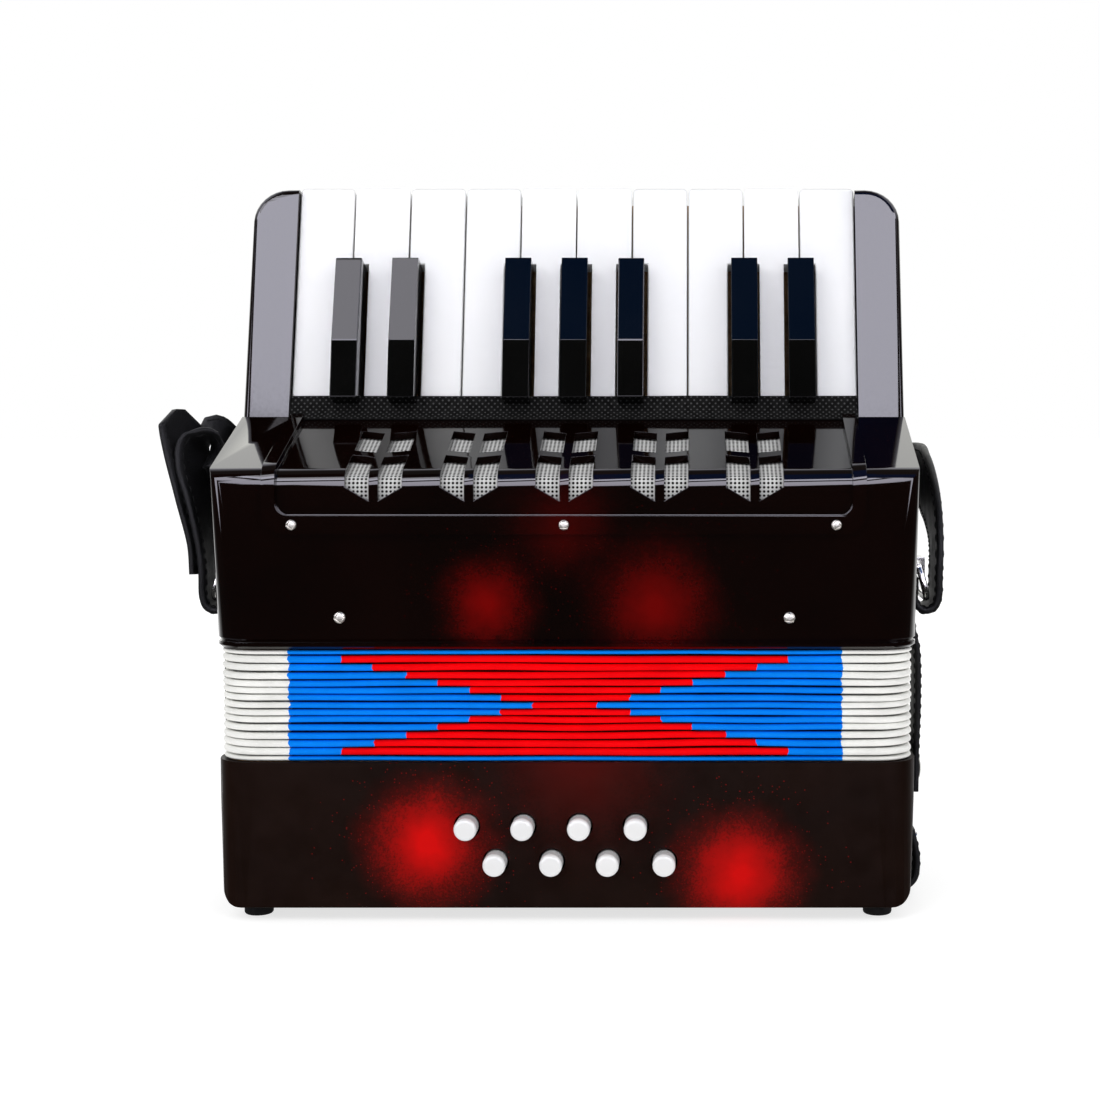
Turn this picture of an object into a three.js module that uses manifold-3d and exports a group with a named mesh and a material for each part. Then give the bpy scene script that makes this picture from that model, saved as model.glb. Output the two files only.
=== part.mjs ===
// A small piano accordion with 17 keys and 8 bass buttons, standing on the feet of its bass end.
// Millimetres. X runs along the keyboard, Y from the front to the player's side, Z from the bass
// end up to the keyboard. The shapes are made about the middle of the two boxes, and the whole
// group is then moved so that the origin is the bottom centre of the complete object's box.
import * as THREE from "three";
import { mergeVertices } from "three/addons/utils/BufferGeometryUtils.js";
import Module from "manifold-3d";

const wasm = await Module();
wasm.setup();

// Driving dimensions
const WIDTH = 226; // both boxes, along the keyboard
const DEPTH = 110; // both boxes, front to back
const WALL = 2.5;
const GAP = 0.3; // between pieces that lie against each other
const FOOT_HEIGHT = 4.3;
const BASS_TOP = 51.5;
const TREBLE_BOTTOM = 87.9;
const FLANGE_HEIGHT = 2.1;
const BOX_CORNER = 14; // radius of the boxes' corners where they meet the bellows
const FOLDS = 15;
const LEDGE_CORNER_Z = 144.2; // where the planes of the front and the ledge would meet
const EDGE_ROUND = 6; // radius of that edge
const CREASE = { y: -5, z: 162 }; // where the ledge meets the keyboard's plane
const LEAN = THREE.MathUtils.degToRad(16); // of the keyboard's plane, backwards
const CHEEK_LENGTH = 83.5; // up the keyboard's plane
const CHEEK_THICK = 30; // at its top end
const CHANNEL_HALF = 97.3; // half of the space between the cheeks
const CHANNEL_DEEP = 22.5;
const WHITE_KEYS = 10;
const BLACK_AFTER = [1, 2, 4, 5, 6, 8, 9]; // a black key stands after each of these white keys
const KEY = { face: 3, thick: 8, root: -17, tip: 84.5, axle: -13 };
const AXLE_RADIUS = 1.5;
const BLACK = { width: 9, notch: 11, base: 5, crest: 25, tip: 55.5, proud: 8 };
const BUTTON = { radius: 3.65, out: 6.5, pitch: 18 };
const STRAP_Y = -13; // the middle of the strap fittings on the two sides
const ORIGIN = { x: -7.15, y: 10.8 }; // the bottom centre of the complete object's box

const HALF = WIDTH / 2;
const FRONT = -DEPTH / 2;
const BACK = DEPTH / 2;
const PITCH = (2 * CHANNEL_HALF) / WHITE_KEYS;
const LEDGE_SLOPE = (CREASE.z - LEDGE_CORNER_Z) / (CREASE.y - FRONT);

// Finishes
const finish = (color, roughness, metalness = 0) => () =>
  new THREE.MeshStandardMaterial({ color, roughness, metalness });
const glossBrown = finish(0x170a08, 0.12);
const satinBrown = finish(0x1d100d, 0.4);
const whitePlastic = finish(0xf6f6f6, 0.25);
const blackPlastic = finish(0x0a0a0c, 0.15);
const chrome = finish(0xd6d6d8, 0.15, 1);
const wood = finish(0x9a7043, 0.7);
const reedMetal = finish(0xb9a46a, 0.35, 1);
const rubber = finish(0x0c0c0c, 0.85);
const leatherette = finish(0x0e0e0f, 0.55);
const bellowsCard = finish(0xd8e0ee, 0.6);
const whiteMesh = finish(0xe4e4e4, 0.8);
const blackMesh = finish(0x101012, 0.95);

const model = new THREE.Group();
model.position.set(-ORIGIN.x, -ORIGIN.y, 0);

// The keyboard's own frame: Y goes into the instrument, and Z up the keyboard's plane.
const keyboard = new THREE.Group();
keyboard.position.set(0, CREASE.y, CREASE.z);
keyboard.rotation.x = -LEAN;
model.add(keyboard);
keyboard.updateMatrix();

// Solids

function solidOf(geometry) {
  const bare = geometry.clone();
  bare.deleteAttribute("normal");
  bare.deleteAttribute("uv");
  const merged = mergeVertices(bare, 1e-4);
  return new wasm.Manifold(
    new wasm.Mesh({
      numProp: 3,
      vertProperties: merged.attributes.position.array,
      triVerts: new Uint32Array(merged.index.array),
    }),
  );
}

function geometryOf(solid) {
  const { vertProperties, triVerts } = solid.getMesh();
  const indexed = new THREE.BufferGeometry()
    .setAttribute("position", new THREE.BufferAttribute(vertProperties, 3))
    .setIndex(new THREE.BufferAttribute(triVerts, 1));
  const flat = indexed.toNonIndexed();
  flat.computeVertexNormals();
  return flat;
}

function add(name, shape, material, parent = model) {
  const geometry = shape.isBufferGeometry ? shape : geometryOf(shape);
  const mesh = new THREE.Mesh(geometry, material());
  mesh.name = name;
  parent.add(mesh);
  return mesh;
}

function box(low, high) {
  const size = high.map((h, i) => h - low[i]);
  const middle = high.map((h, i) => (h + low[i]) / 2);
  return solidOf(new THREE.BoxGeometry(...size).translate(...middle));
}

// A solid or geometry given in the keyboard's frame, placed in the model's frame.
const inKeyboardFrame = (solid) => solidOf(geometryOf(solid).applyMatrix4(keyboard.matrix));

// Outlines: a list of corners [x, y, radius], anticlockwise

function rounded(corners, segments = 6) {
  const points = [];
  corners.forEach(([x, y, radius], i) => {
    const corner = new THREE.Vector2(x, y);
    if (!radius) {
      points.push(corner);
      return;
    }
    const towards = (other) => new THREE.Vector2(other[0], other[1]).sub(corner).normalize();
    const before = towards(corners.at(i - 1));
    const after = towards(corners[(i + 1) % corners.length]);
    const half = Math.acos(before.dot(after)) / 2;
    const centre = before.clone().add(after).setLength(radius / Math.sin(half)).add(corner);
    const reach = radius / Math.tan(half);
    const from = before.multiplyScalar(reach).add(corner).sub(centre).angle();
    const to = after.multiplyScalar(reach).add(corner).sub(centre).angle();
    const turn = THREE.MathUtils.euclideanModulo(to - from + Math.PI, 2 * Math.PI) - Math.PI;
    for (let k = 0; k <= segments; k++) {
      const angle = from + (turn * k) / segments;
      points.push(
        new THREE.Vector2(Math.cos(angle), Math.sin(angle)).multiplyScalar(radius).add(centre),
      );
    }
  });
  return points;
}

// The same outline moved inwards by a distance, or outwards by a negative one.
function inset(corners, distance) {
  return corners.map(([x, y, radius], i) => {
    const here = new THREE.Vector2(x, y);
    const [px, py] = corners.at(i - 1);
    const [nx, ny] = corners[(i + 1) % corners.length];
    const arriving = new THREE.Vector2(x - px, y - py).normalize();
    const leaving = new THREE.Vector2(nx - x, ny - y).normalize();
    const bend = arriving.cross(leaving);
    const shift = leaving
      .clone()
      .sub(arriving)
      .multiplyScalar(Math.abs(bend) < 1e-6 ? 0 : distance / bend);
    const moved = here.add(shift);
    const grown = bend > 0 ? radius - distance : radius + distance;
    return [moved.x, moved.y, radius ? Math.max(grown, 0.2) : 0];
  });
}

const rectangle = (x0, y0, x1, y1, radius = 0) => [
  [x0, y0, radius],
  [x1, y0, radius],
  [x1, y1, radius],
  [x0, y1, radius],
];

const extruded = (points, length) =>
  new THREE.ExtrudeGeometry(new THREE.Shape(points), { depth: length, bevelEnabled: false });

const axes = (x, y, z) =>
  new THREE.Matrix4().makeBasis(
    new THREE.Vector3(...x),
    new THREE.Vector3(...y),
    new THREE.Vector3(...z),
  );
const SIDE = axes([0, 1, 0], [0, 0, 1], [1, 0, 0]);
const FACING = axes([1, 0, 0], [0, 0, 1], [0, -1, 0]);

// Prisms from an outline of (Y, Z), of (X, Z) and of (X, Y).
const sidePrism = (points, x0, x1) =>
  solidOf(extruded(points, x1 - x0).applyMatrix4(SIDE).translate(x0, 0, 0));
const facingPrism = (points, y0, y1) =>
  solidOf(extruded(points, y1 - y0).applyMatrix4(FACING).translate(0, y1, 0));
const planPrism = (points, z0, z1) => solidOf(extruded(points, z1 - z0).translate(0, 0, z0));

// A closed skin over a stack of rings that have the same number of points each.
function stacked(rings) {
  const count = rings[0].length;
  const index = [];
  rings.slice(1).forEach((_, level) => {
    for (let i = 0; i < count; i++) {
      const j = (i + 1) % count;
      const [a, b] = [level * count + i, level * count + j];
      index.push(a, b, b + count, a, b + count, a + count);
    }
  });
  const last = (rings.length - 1) * count;
  for (let i = 1; i < count - 1; i++) {
    index.push(0, i + 1, i, last, last + i, last + i + 1);
  }
  return new THREE.BufferGeometry()
    .setAttribute("position", new THREE.Float32BufferAttribute(rings.flat(2), 3))
    .setIndex(index);
}

// A stack of rounded rectangles in plan: each level is {z, inset, front, back}, with the
// distance inside the full size and the radii of the front and back corners.
function planStack(levels, segments = 6) {
  return stacked(
    levels.map(({ z, inset: by, front, back }) => {
      const [x, y] = [HALF - by, BACK - by];
      const ring = rounded(
        [
          [-x, -y, front],
          [x, -y, front],
          [x, y, back],
          [-x, y, back],
        ],
        segments,
      );
      return ring.map((p) => [p.x, p.y, z]);
    }),
  );
}

// A round piece about the vertical, from a profile of [radius, height] from axis to axis.
const turned = (profile, segments = 16) =>
  new THREE.LatheGeometry(
    profile.map(([r, z]) => new THREE.Vector2(r, z)),
    segments,
  ).rotateX(Math.PI / 2);

const rod = (radius, length, segments = 12) =>
  new THREE.CylinderGeometry(radius, radius, length, segments).rotateZ(Math.PI / 2);

// A strap along a smooth curve. Each knot is [x, y, z] and the direction of the strap's width.
function strap(knots, width, thick, steps) {
  const places = new THREE.CatmullRomCurve3(knots.map((k) => new THREE.Vector3(...k[0])));
  const across = new THREE.CatmullRomCurve3(knots.map((k) => new THREE.Vector3(...k[1])));
  const rings = [];
  for (let i = 0; i <= steps; i++) {
    const at = places.getPoint(i / steps);
    const along = places.getTangent(i / steps);
    const out = across.getPoint(i / steps).cross(along).normalize();
    const wide = out.clone().cross(along).normalize();
    const corner = (a, b) =>
      at
        .clone()
        .addScaledVector(wide, (a * width) / 2)
        .addScaledVector(out, (b * thick) / 2)
        .toArray();
    rings.push([corner(-1, -1), corner(1, -1), corner(1, 1), corner(-1, 1)]);
  }
  return stacked(rings);
}

// The bass end

const BASS_DRAFT = { side: 1.7, front: 0.4 }; // how far the box is drawn in at its end face
const BASS_ROUND = { side: 5.5, front: 0.8 };

function bassBlock(by, floor, top) {
  const outline = (half, draft, round) => [
    [-half + by + draft, floor, Math.max(round - by, 0.6)],
    [half - by - draft, floor, Math.max(round - by, 0.6)],
    [half - by, top, 0],
    [-half + by, top, 0],
  ];
  const facing = rounded(outline(HALF, BASS_DRAFT.side, BASS_ROUND.side), 8);
  const side = rounded(outline(BACK, BASS_DRAFT.front, BASS_ROUND.front), 3);
  const plan = rounded(rectangle(-HALF + by, FRONT + by, HALF - by, BACK - by, BOX_CORNER - by));
  return facingPrism(facing, FRONT - 1, BACK + 1)
    .intersect(sidePrism(side, -HALF - 1, HALF + 1))
    .intersect(planPrism(plan, floor - 1, top + 1));
}

const BASS_BUTTONS = [
  ...[0, 1, 2, 3].map((k) => ({ x: -31.5 + BUTTON.pitch * k, z: 31 })),
  ...[0, 1, 2, 3].map((k) => ({ x: -22.4 + BUTTON.pitch * k, z: 19.5 })),
];
const BUTTON_HOLE = BUTTON.radius + 0.65;
const AIR_BUTTON = { x: 70, y: 33, radius: 4.6, out: 2.9 };

function bassCasing() {
  let casing = bassBlock(0, FOOT_HEIGHT, BASS_TOP).subtract(
    bassBlock(WALL, FOOT_HEIGHT + 3, BASS_TOP + 1),
  );
  for (const { x, z } of BASS_BUTTONS) {
    const hole = rod(BUTTON_HOLE, 12, 20).rotateZ(Math.PI / 2).translate(x, FRONT, z);
    casing = casing.subtract(solidOf(hole));
  }
  const airHole = turned([[0, -9], [AIR_BUTTON.radius + 0.5, -9], [AIR_BUTTON.radius + 0.5, 9], [0, 9]]);
  return casing.subtract(solidOf(airHole.translate(AIR_BUTTON.x, AIR_BUTTON.y, FOOT_HEIGHT)));
}

add("bass_casing", bassCasing(), satinBrown);

const FOOT = { radius: 4.7, edge: 0.9, x: 101, y: 43 };
for (const [end, sy] of [["front", -1], ["rear", 1]]) {
  for (const [side, sx] of [["left", -1], ["right", 1]]) {
    const top = FOOT_HEIGHT - GAP;
    const profile = [
      [0, 0],
      [FOOT.radius - FOOT.edge, 0],
      [FOOT.radius, FOOT.edge],
      [FOOT.radius, top],
      [0, top],
    ];
    const foot = add(`foot_${end}_${side}`, turned(profile, 20), rubber);
    foot.position.set(sx * FOOT.x, sy * FOOT.y, 0);
  }
}

// A button with a domed end and, behind the wall, a collar that keeps it in.
function buttonProfile(radius, out, wall, inside) {
  const dome = 0.7;
  const collar = 1.2;
  return [
    [0, out],
    [radius - dome, out],
    [radius, out - dome],
    [radius, -wall - GAP],
    [radius + collar, -wall - GAP],
    [radius + collar, -wall - GAP - collar],
    [radius - collar / 2, -wall - GAP - collar],
    [radius - collar / 2, -inside],
    [0, -inside],
  ].reverse();
}

BASS_BUTTONS.forEach(({ x, z }, i) => {
  const shape = turned(buttonProfile(BUTTON.radius, BUTTON.out, WALL + 0.9, 12)).rotateX(Math.PI / 2);
  add(`bass_button_${i + 1}`, shape, whitePlastic).position.set(x, FRONT, z);
});

const airProfile = buttonProfile(AIR_BUTTON.radius, AIR_BUTTON.out, 3, 9);
const airButton = add("air_button", turned(airProfile).rotateX(Math.PI), blackPlastic);
airButton.position.set(AIR_BUTTON.x, AIR_BUTTON.y, FOOT_HEIGHT);

// A frame of wood that closes one end of the bellows, inside a box.
function bellowsFrame(low, high) {
  const ring = (inner, corner, z0, z1) =>
    solidOf(
      planStack([
        { z: z0, inset: inner, front: corner, back: corner },
        { z: z1, inset: inner, front: corner, back: corner },
      ]),
    );
  const by = WALL + 2 * GAP;
  return ring(by, BOX_CORNER - by, low, high).subtract(ring(by + 9, 4, low - 1, high + 1));
}

const REED_ROW = 160; // length of a row of reed windows
const REED_WINDOW = { halfX: 3, halfY: 6 };

// A soundboard: a plate with a window under each reed of a row.
function soundboard(z, thick, windows, rows) {
  const halfX = HALF - WALL - GAP - 1;
  const halfY = BACK - WALL - GAP - 1;
  let plate = planPrism(rounded(rectangle(-halfX, -halfY, halfX, halfY, 10)), z, z + thick);
  const { halfX: wide, halfY: deep } = REED_WINDOW;
  const pitch = REED_ROW / windows;
  for (const y of rows) {
    for (let k = 0; k < windows; k++) {
      const x = -REED_ROW / 2 + pitch * (k + 0.5);
      plate = plate.subtract(
        box([x - wide, y - deep, z - 1], [x + wide, y + deep, z + thick + 1]),
      );
    }
  }
  return plate;
}

const COMB = { halfX: 84, halfY: 11, end: 2, side: 3, wall: 2, floor: 2 };

// A comb of reed cells, open on the side of the bellows.
function reedBlock(z0, z1, cells, openUp) {
  const { halfX, halfY, end, side, wall, floor } = COMB;
  const pitch = (2 * (halfX - end)) / cells;
  const deep = halfY - side;
  let block = box([-halfX, -halfY, z0], [halfX, halfY, z1]);
  for (let k = 0; k < cells; k++) {
    const x = end - halfX + pitch * (k + 0.5);
    const half = (pitch - wall) / 2;
    const low = openUp ? z0 + floor : z0 - 1;
    const high = openUp ? z1 + 1 : z1 - floor;
    block = block.subtract(box([x - half, -deep, low], [x + half, deep, high]));
  }
  return block;
}

add("bass_bellows_frame", bellowsFrame(BASS_TOP - 4, BASS_TOP), wood);
add("bass_soundboard", soundboard(40, 3, 8, [0]), wood);
add("bass_reed_block", reedBlock(43 + GAP, 58, 8, true), reedMetal);

// The bellows, squeezed shut

function bellows() {
  const low = BASS_TOP + GAP;
  const high = TREBLE_BOTTOM - GAP;
  const pitch = (high - low) / FOLDS;
  const levels = [];
  for (let k = 0; k <= FOLDS; k++) {
    levels.push({ z: low + pitch * k, inset: 3.4, front: 12, back: 12 });
    if (k < FOLDS) levels.push({ z: low + pitch * (k + 0.5), inset: 1.2, front: 14, back: 14 });
  }
  const hollow = [low - 1, high + 1].map((z) => ({ z, inset: 16, front: 5, back: 5 }));
  return solidOf(planStack(levels, 4)).subtract(solidOf(planStack(hollow, 4)));
}

add("bellows", bellows(), bellowsCard);

// The treble body

// The side view of the treble body, [y, z, radius], from the front's lower corner and on
// backwards: up the back, over the top of the keyboard, down its plane and along the ledge.
const KEYBOARD_TOP = {
  y: CREASE.y + CHEEK_LENGTH * Math.sin(LEAN),
  z: CREASE.z + CHEEK_LENGTH * Math.cos(LEAN),
};
const TREBLE_SIDE = [
  [FRONT, TREBLE_BOTTOM, 0],
  [BACK, TREBLE_BOTTOM, 0],
  [BACK, 152, 12],
  [
    KEYBOARD_TOP.y + CHEEK_THICK * Math.cos(LEAN),
    KEYBOARD_TOP.z - CHEEK_THICK * Math.sin(LEAN) + 3,
    6,
  ],
  [KEYBOARD_TOP.y, KEYBOARD_TOP.z, 2],
  [CREASE.y, CREASE.z, 0],
  [FRONT, LEDGE_CORNER_Z, EDGE_ROUND],
];
const CHEEK_CORNER = 12; // the cheeks' outer corners at the top, seen from the front
const CHEEK_ROUND = 2.6; // of the cheeks' outer edges

// The treble body's corners are wide at the flange and grow tighter towards the ledge.
function trebleFootprint(by) {
  const lip = TREBLE_BOTTOM + FLANGE_HEIGHT;
  const level = (z, inside, front, back) => ({
    z,
    inset: by + inside,
    front: Math.max(front - by - inside, 1),
    back: Math.max(back - by - inside, 1),
  });
  const flange = [
    level(TREBLE_BOTTOM, 0.9, BOX_CORNER, BOX_CORNER),
    level(TREBLE_BOTTOM + 0.8, 0, BOX_CORNER, BOX_CORNER),
    level(lip - 0.3, 0, BOX_CORNER, BOX_CORNER),
    level(lip, 0.7, BOX_CORNER, BOX_CORNER),
    level(lip + 0.5, 0.7, BOX_CORNER, BOX_CORNER),
    level(lip + 1.1, 0, BOX_CORNER, BOX_CORNER),
  ];
  const inside = [
    level(TREBLE_BOTTOM - 1, 0, BOX_CORNER, BOX_CORNER),
    level(lip + 1.1, 0, BOX_CORNER, BOX_CORNER),
  ];
  return solidOf(
    planStack([
      ...(by ? inside : flange),
      level(LEDGE_CORNER_Z, 0, 4, 6),
      level(KEYBOARD_TOP.z + 10, 0, 4, 6),
    ]),
  );
}

function trebleBlock(by) {
  const side = inset(TREBLE_SIDE, by);
  if (by) {
    side[0][1] = TREBLE_BOTTOM - 1;
    side[1][1] = TREBLE_BOTTOM - 1;
  }
  const facing = [
    [-HALF + by, TREBLE_BOTTOM - 2, 0],
    [HALF - by, TREBLE_BOTTOM - 2, 0],
    [HALF - by, KEYBOARD_TOP.z - by, CHEEK_CORNER - by],
    [-HALF + by, KEYBOARD_TOP.z - by, CHEEK_CORNER - by],
  ];
  return sidePrism(rounded(side), -HALF + by, HALF - by)
    .intersect(trebleFootprint(by))
    .intersect(facingPrism(rounded(facing, 8), FRONT - 5, BACK + 5));
}

// What stays when the cheeks' outer edges are rounded: everything below the crease, and above it
// a block whose front edge is rounded all the way round.
function cheekRounding() {
  const ring = (deep, by, rise) =>
    rounded(
      [
        [-HALF + by, -40, 0],
        [HALF - by, -40, 0],
        [HALF - by, CHEEK_LENGTH - by + rise, CHEEK_CORNER - by],
        [-HALF + by, CHEEK_LENGTH - by + rise, CHEEK_CORNER - by],
      ],
      8,
    )
      .map((p) => [p.x, deep, p.y])
      .reverse();
  const rings = [];
  for (let k = 0; k <= 4; k++) {
    const angle = (k / 4) * (Math.PI / 2);
    const by = CHEEK_ROUND * (1 - Math.sin(angle));
    rings.push(ring(CHEEK_ROUND * (1 - Math.cos(angle)) - 0.01, by, 0));
  }
  rings.push(ring(60, 0, 6));
  const below = box([-150, -80, -200], [150, 120, 0]);
  return inKeyboardFrame(solidOf(stacked(rings)).add(below));
}

// The space between the cheeks, which runs on down into the body for the keys' roots.
function keyChannel(grow) {
  const half = CHANNEL_HALF + grow;
  const deep = CHANNEL_DEEP + grow;
  const above = box([-half, -5, -0.4 + 0.01 * grow], [half, deep, 110]);
  return grow
    ? inKeyboardFrame(above.add(box([-half, 5, -22], [half, deep, 1]))).subtract(
        inKeyboardFrame(box([-CHANNEL_HALF, -30, -24], [CHANNEL_HALF, 60, -0.5])),
      )
    : inKeyboardFrame(above.add(box([-half, 1.6, -24], [half, deep, 1])));
}

// Plates that wrap over the front edge, between two distances outside the body's surface.
const GRILLE = { half: 95.8, low: 124.6, inner: 91.4, innerLow: 130.6, rim: 1.2, end: -7.5 };

function wrapped(outer, inner, low, half) {
  const rise = 1 / Math.cos(Math.atan(LEDGE_SLOPE));
  const corner = (a) => [FRONT - a, LEDGE_CORNER_Z - a * LEDGE_SLOPE + a * rise, EDGE_ROUND + a];
  const end = (a) => [GRILLE.end, LEDGE_CORNER_Z + (GRILLE.end - FRONT) * LEDGE_SLOPE + a * rise, 0];
  const outline = [
    [FRONT - inner, low, 0],
    corner(inner),
    end(inner),
    end(outer),
    corner(outer),
    [FRONT - outer, low, 0],
  ];
  return sidePrism(rounded(outline).reverse(), -half, half);
}

const facingWindow = (half, low, radius) =>
  facingPrism(
    rounded([
      [-half, low, radius],
      [half, low, radius],
      [half, CREASE.z + 20, 0],
      [-half, CREASE.z + 20, 0],
    ]),
    FRONT - 8,
    GRILLE.end + GAP,
  );

// The opening in the back and the cover over it.
const SERVICE = { half: 88, low: 112, high: 222, corner: 8, front: 36 };
const COVER = { half: 95, low: 104, high: 230, corner: 10, front: 34, out: 1.8 };
const SCREWS = {
  grille: [-86.2, 0, 86.2].map((x) => ({ x, z: 127.6, radius: 1.6, deep: 4.2 })),
  casing: [-71.5, 71.5].map((x) => ({ x, z: 98, radius: 1.8, deep: 2 })),
};
const screwHole = ({ x, z }, from) =>
  solidOf(rod(1.3, 14, 10).rotateZ(Math.PI / 2).translate(x, from + 7, z));

function trebleCasing() {
  let casing = trebleBlock(0)
    .intersect(cheekRounding())
    .subtract(trebleBlock(WALL).subtract(keyChannel(2)));
  casing = casing.subtract(keyChannel(0));
  casing = casing.subtract(facingWindow(GRILLE.inner + GRILLE.rim + GAP, GRILLE.innerLow - 1.5, 4));
  for (const screw of [...SCREWS.grille, ...SCREWS.casing]) {
    casing = casing.subtract(screwHole(screw, FRONT - 3));
  }
  // The back is open under its cover.
  const { half, low, high, corner, front } = SERVICE;
  const service = rounded(rectangle(-half, low, half, high, corner));
  return casing.subtract(facingPrism(service, front, BACK + 5));
}

add("treble_casing", trebleCasing(), glossBrown);

// The cover follows the back's lower upright part and its upper leaning part.
function backCover() {
  const { half, low, high, corner, front, out } = COVER;
  const skin = (from, to) => {
    const outer = rounded(inset(TREBLE_SIDE, from));
    const inner = rounded(inset(TREBLE_SIDE, to));
    return sidePrism(outer, -half - 1, half + 1).subtract(sidePrism(inner, -half - 2, half + 2));
  };
  const outline = rounded(rectangle(-half, low, half, high, corner));
  return skin(-out, -GAP).intersect(facingPrism(outline, front, BACK + 5));
}

add("treble_back_cover", backCover(), satinBrown);
add("treble_bellows_frame", bellowsFrame(TREBLE_BOTTOM + GAP, TREBLE_BOTTOM + 4.3), wood);
add("treble_soundboard", soundboard(104, 3, 17, [-26, 26]), wood);
add("treble_reed_block", reedBlock(84, 104 - GAP, 17, false), reedMetal);

// The grille

const SLOTS = { groups: 5, pitch: 30.25, near: 1.5, far: 9.05 };

// One slot's cutter. The two ends slant, so that each pair of slots forms an arrow.
function slot(x, side, upper) {
  const [near, far] = [x + side * SLOTS.near, x + side * SLOTS.far];
  const order = (points) => (side > 0 ? points : points.reverse()).map((p) => new THREE.Vector2(...p));
  const plan = (front, back) =>
    planPrism(order([[near, front], [far, front + 2], [far, back + 2], [near, back]]), 128, 175);
  if (upper) return plan(FRONT + 17.5, FRONT + 35);
  const face = order([[near, 135.1], [far, 139.5], [far, 175], [near, 175]]);
  return plan(FRONT - 12, FRONT + 13.5).intersect(facingPrism(face, FRONT - 6, -30));
}

function grilleCover() {
  const { half, low, inner, innerLow, rim } = GRILLE;
  const rimWindow = facingWindow(inner + rim, innerLow - rim, 4);
  let cover = wrapped(1.8, -2.4, low, half).intersect(facingWindow(half, low, 7));
  cover = cover.subtract(wrapped(4, -0.2, innerLow, half).intersect(facingWindow(inner, innerLow, 4)));
  cover = cover.subtract(wrapped(GAP, -4, low - 1, half + 1).subtract(rimWindow));
  for (let k = 0; k < SLOTS.groups; k++) {
    const x = (k - (SLOTS.groups - 1) / 2) * SLOTS.pitch;
    for (const side of [-1, 1]) {
      for (const upper of [true, false]) cover = cover.subtract(slot(x, side, upper));
    }
  }
  for (const screw of SCREWS.grille) cover = cover.subtract(screwHole(screw, FRONT - 3));
  return cover;
}

add("grille_cover", grilleCover(), glossBrown);
add("grille_cloth", wrapped(-2.8, -3.4, GRILLE.innerLow + 1.5, 88), whiteMesh);

function screw(radius, deep) {
  const head = 1.1;
  const profile = [
    [0, -deep],
    [1, -deep],
    [1, 0],
    [radius, 0],
    [radius, head * 0.5],
    [radius * 0.6, head],
    [0, head],
  ];
  return turned(profile, 12).rotateX(Math.PI / 2);
}

SCREWS.grille.forEach(({ x, z, radius, deep }, i) => {
  add(`grille_screw_${i + 1}`, screw(radius, deep), chrome).position.set(x, FRONT - 1.8 - GAP, z);
});
SCREWS.casing.forEach(({ x, z, radius, deep }, i) => {
  add(`casing_screw_${i + 1}`, screw(radius, deep), chrome).position.set(x, FRONT - GAP, z);
});

// The keyboard, in its own frame: x along it, y into the instrument, z up its plane

const axleHole = (shape, x) => {
  const hole = rod(AXLE_RADIUS + 0.35, PITCH + 4, 12);
  return shape.subtract(solidOf(hole.translate(x, KEY.face + KEY.thick / 2, KEY.axle)));
};

function whiteKey(index) {
  const left = -CHANNEL_HALF + PITCH * (index - 1) + 0.25;
  const right = left + PITCH - 0.5;
  const outline = rounded([
    [left, KEY.root, 0],
    [right, KEY.root, 0],
    [right, KEY.tip, 1.6],
    [left, KEY.tip, 1.6],
  ]);
  const y0 = KEY.face;
  const y1 = KEY.face + KEY.thick;
  let key = facingPrism(outline, y0, y1);
  const notch = (x) =>
    box([x - BLACK.notch / 2, y0 - 1, KEY.root - 1], [x + BLACK.notch / 2, y1 + 1, BLACK.tip + 0.8]);
  if (BLACK_AFTER.includes(index)) key = key.subtract(notch(right + 0.25));
  if (BLACK_AFTER.includes(index - 1)) key = key.subtract(notch(left - 0.25));
  return axleHole(key, (left + right) / 2);
}

// The black keys' side view: the face slopes down from its highest line to the tip.
function blackKey(index) {
  const x = -CHANNEL_HALF + PITCH * index;
  const { base, crest, tip, proud, width } = BLACK;
  const back = KEY.face + KEY.thick - 1;
  const outline = [
    [back, KEY.root],
    [back, tip],
    [2.6 - proud, tip],
    [2.2 - proud + 0.2, tip - 1.6],
    [-proud, crest],
    [1 - proud, base],
    [KEY.face + 0.5, base],
    [KEY.face + 0.5, KEY.root],
  ].map((p) => new THREE.Vector2(...p));
  const key = sidePrism(outline, x - width / 2, x + width / 2);
  return axleHole(key, x);
}

for (let i = 1; i <= WHITE_KEYS; i++) {
  add(`white_key_${String(i).padStart(2, "0")}`, whiteKey(i), whitePlastic, keyboard);
}
BLACK_AFTER.forEach((after, i) => {
  add(`black_key_${i + 1}`, blackKey(after), blackPlastic, keyboard);
});

const axle = add("key_axle", rod(AXLE_RADIUS, 2 * (CHANNEL_HALF - GAP)), chrome, keyboard);
axle.position.set(0, KEY.face + KEY.thick / 2, KEY.axle);

const BED_HALF = CHANNEL_HALF - GAP;
const bed = box([-BED_HALF, 16.2, 1], [BED_HALF, CHANNEL_DEEP - GAP, KEY.tip - 1]);
add("keyboard_bed", bed, wood, keyboard);

const dustCloth = box([-BED_HALF, 1.2, -0.1], [BED_HALF, 2.4, BLACK.base - 0.3]);
add("dust_cloth", dustCloth, blackMesh, keyboard);

// Strap fittings and straps, on both sides

const PIVOT = { out: 2.9, z: 112 }; // the ring's upper bar, outwards from the side
const RING = { reach: 10.6, half: 13.6, bar: 2.3 };
const RING_HANG = Math.atan2(10.2, 2.7); // below the horizontal

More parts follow.
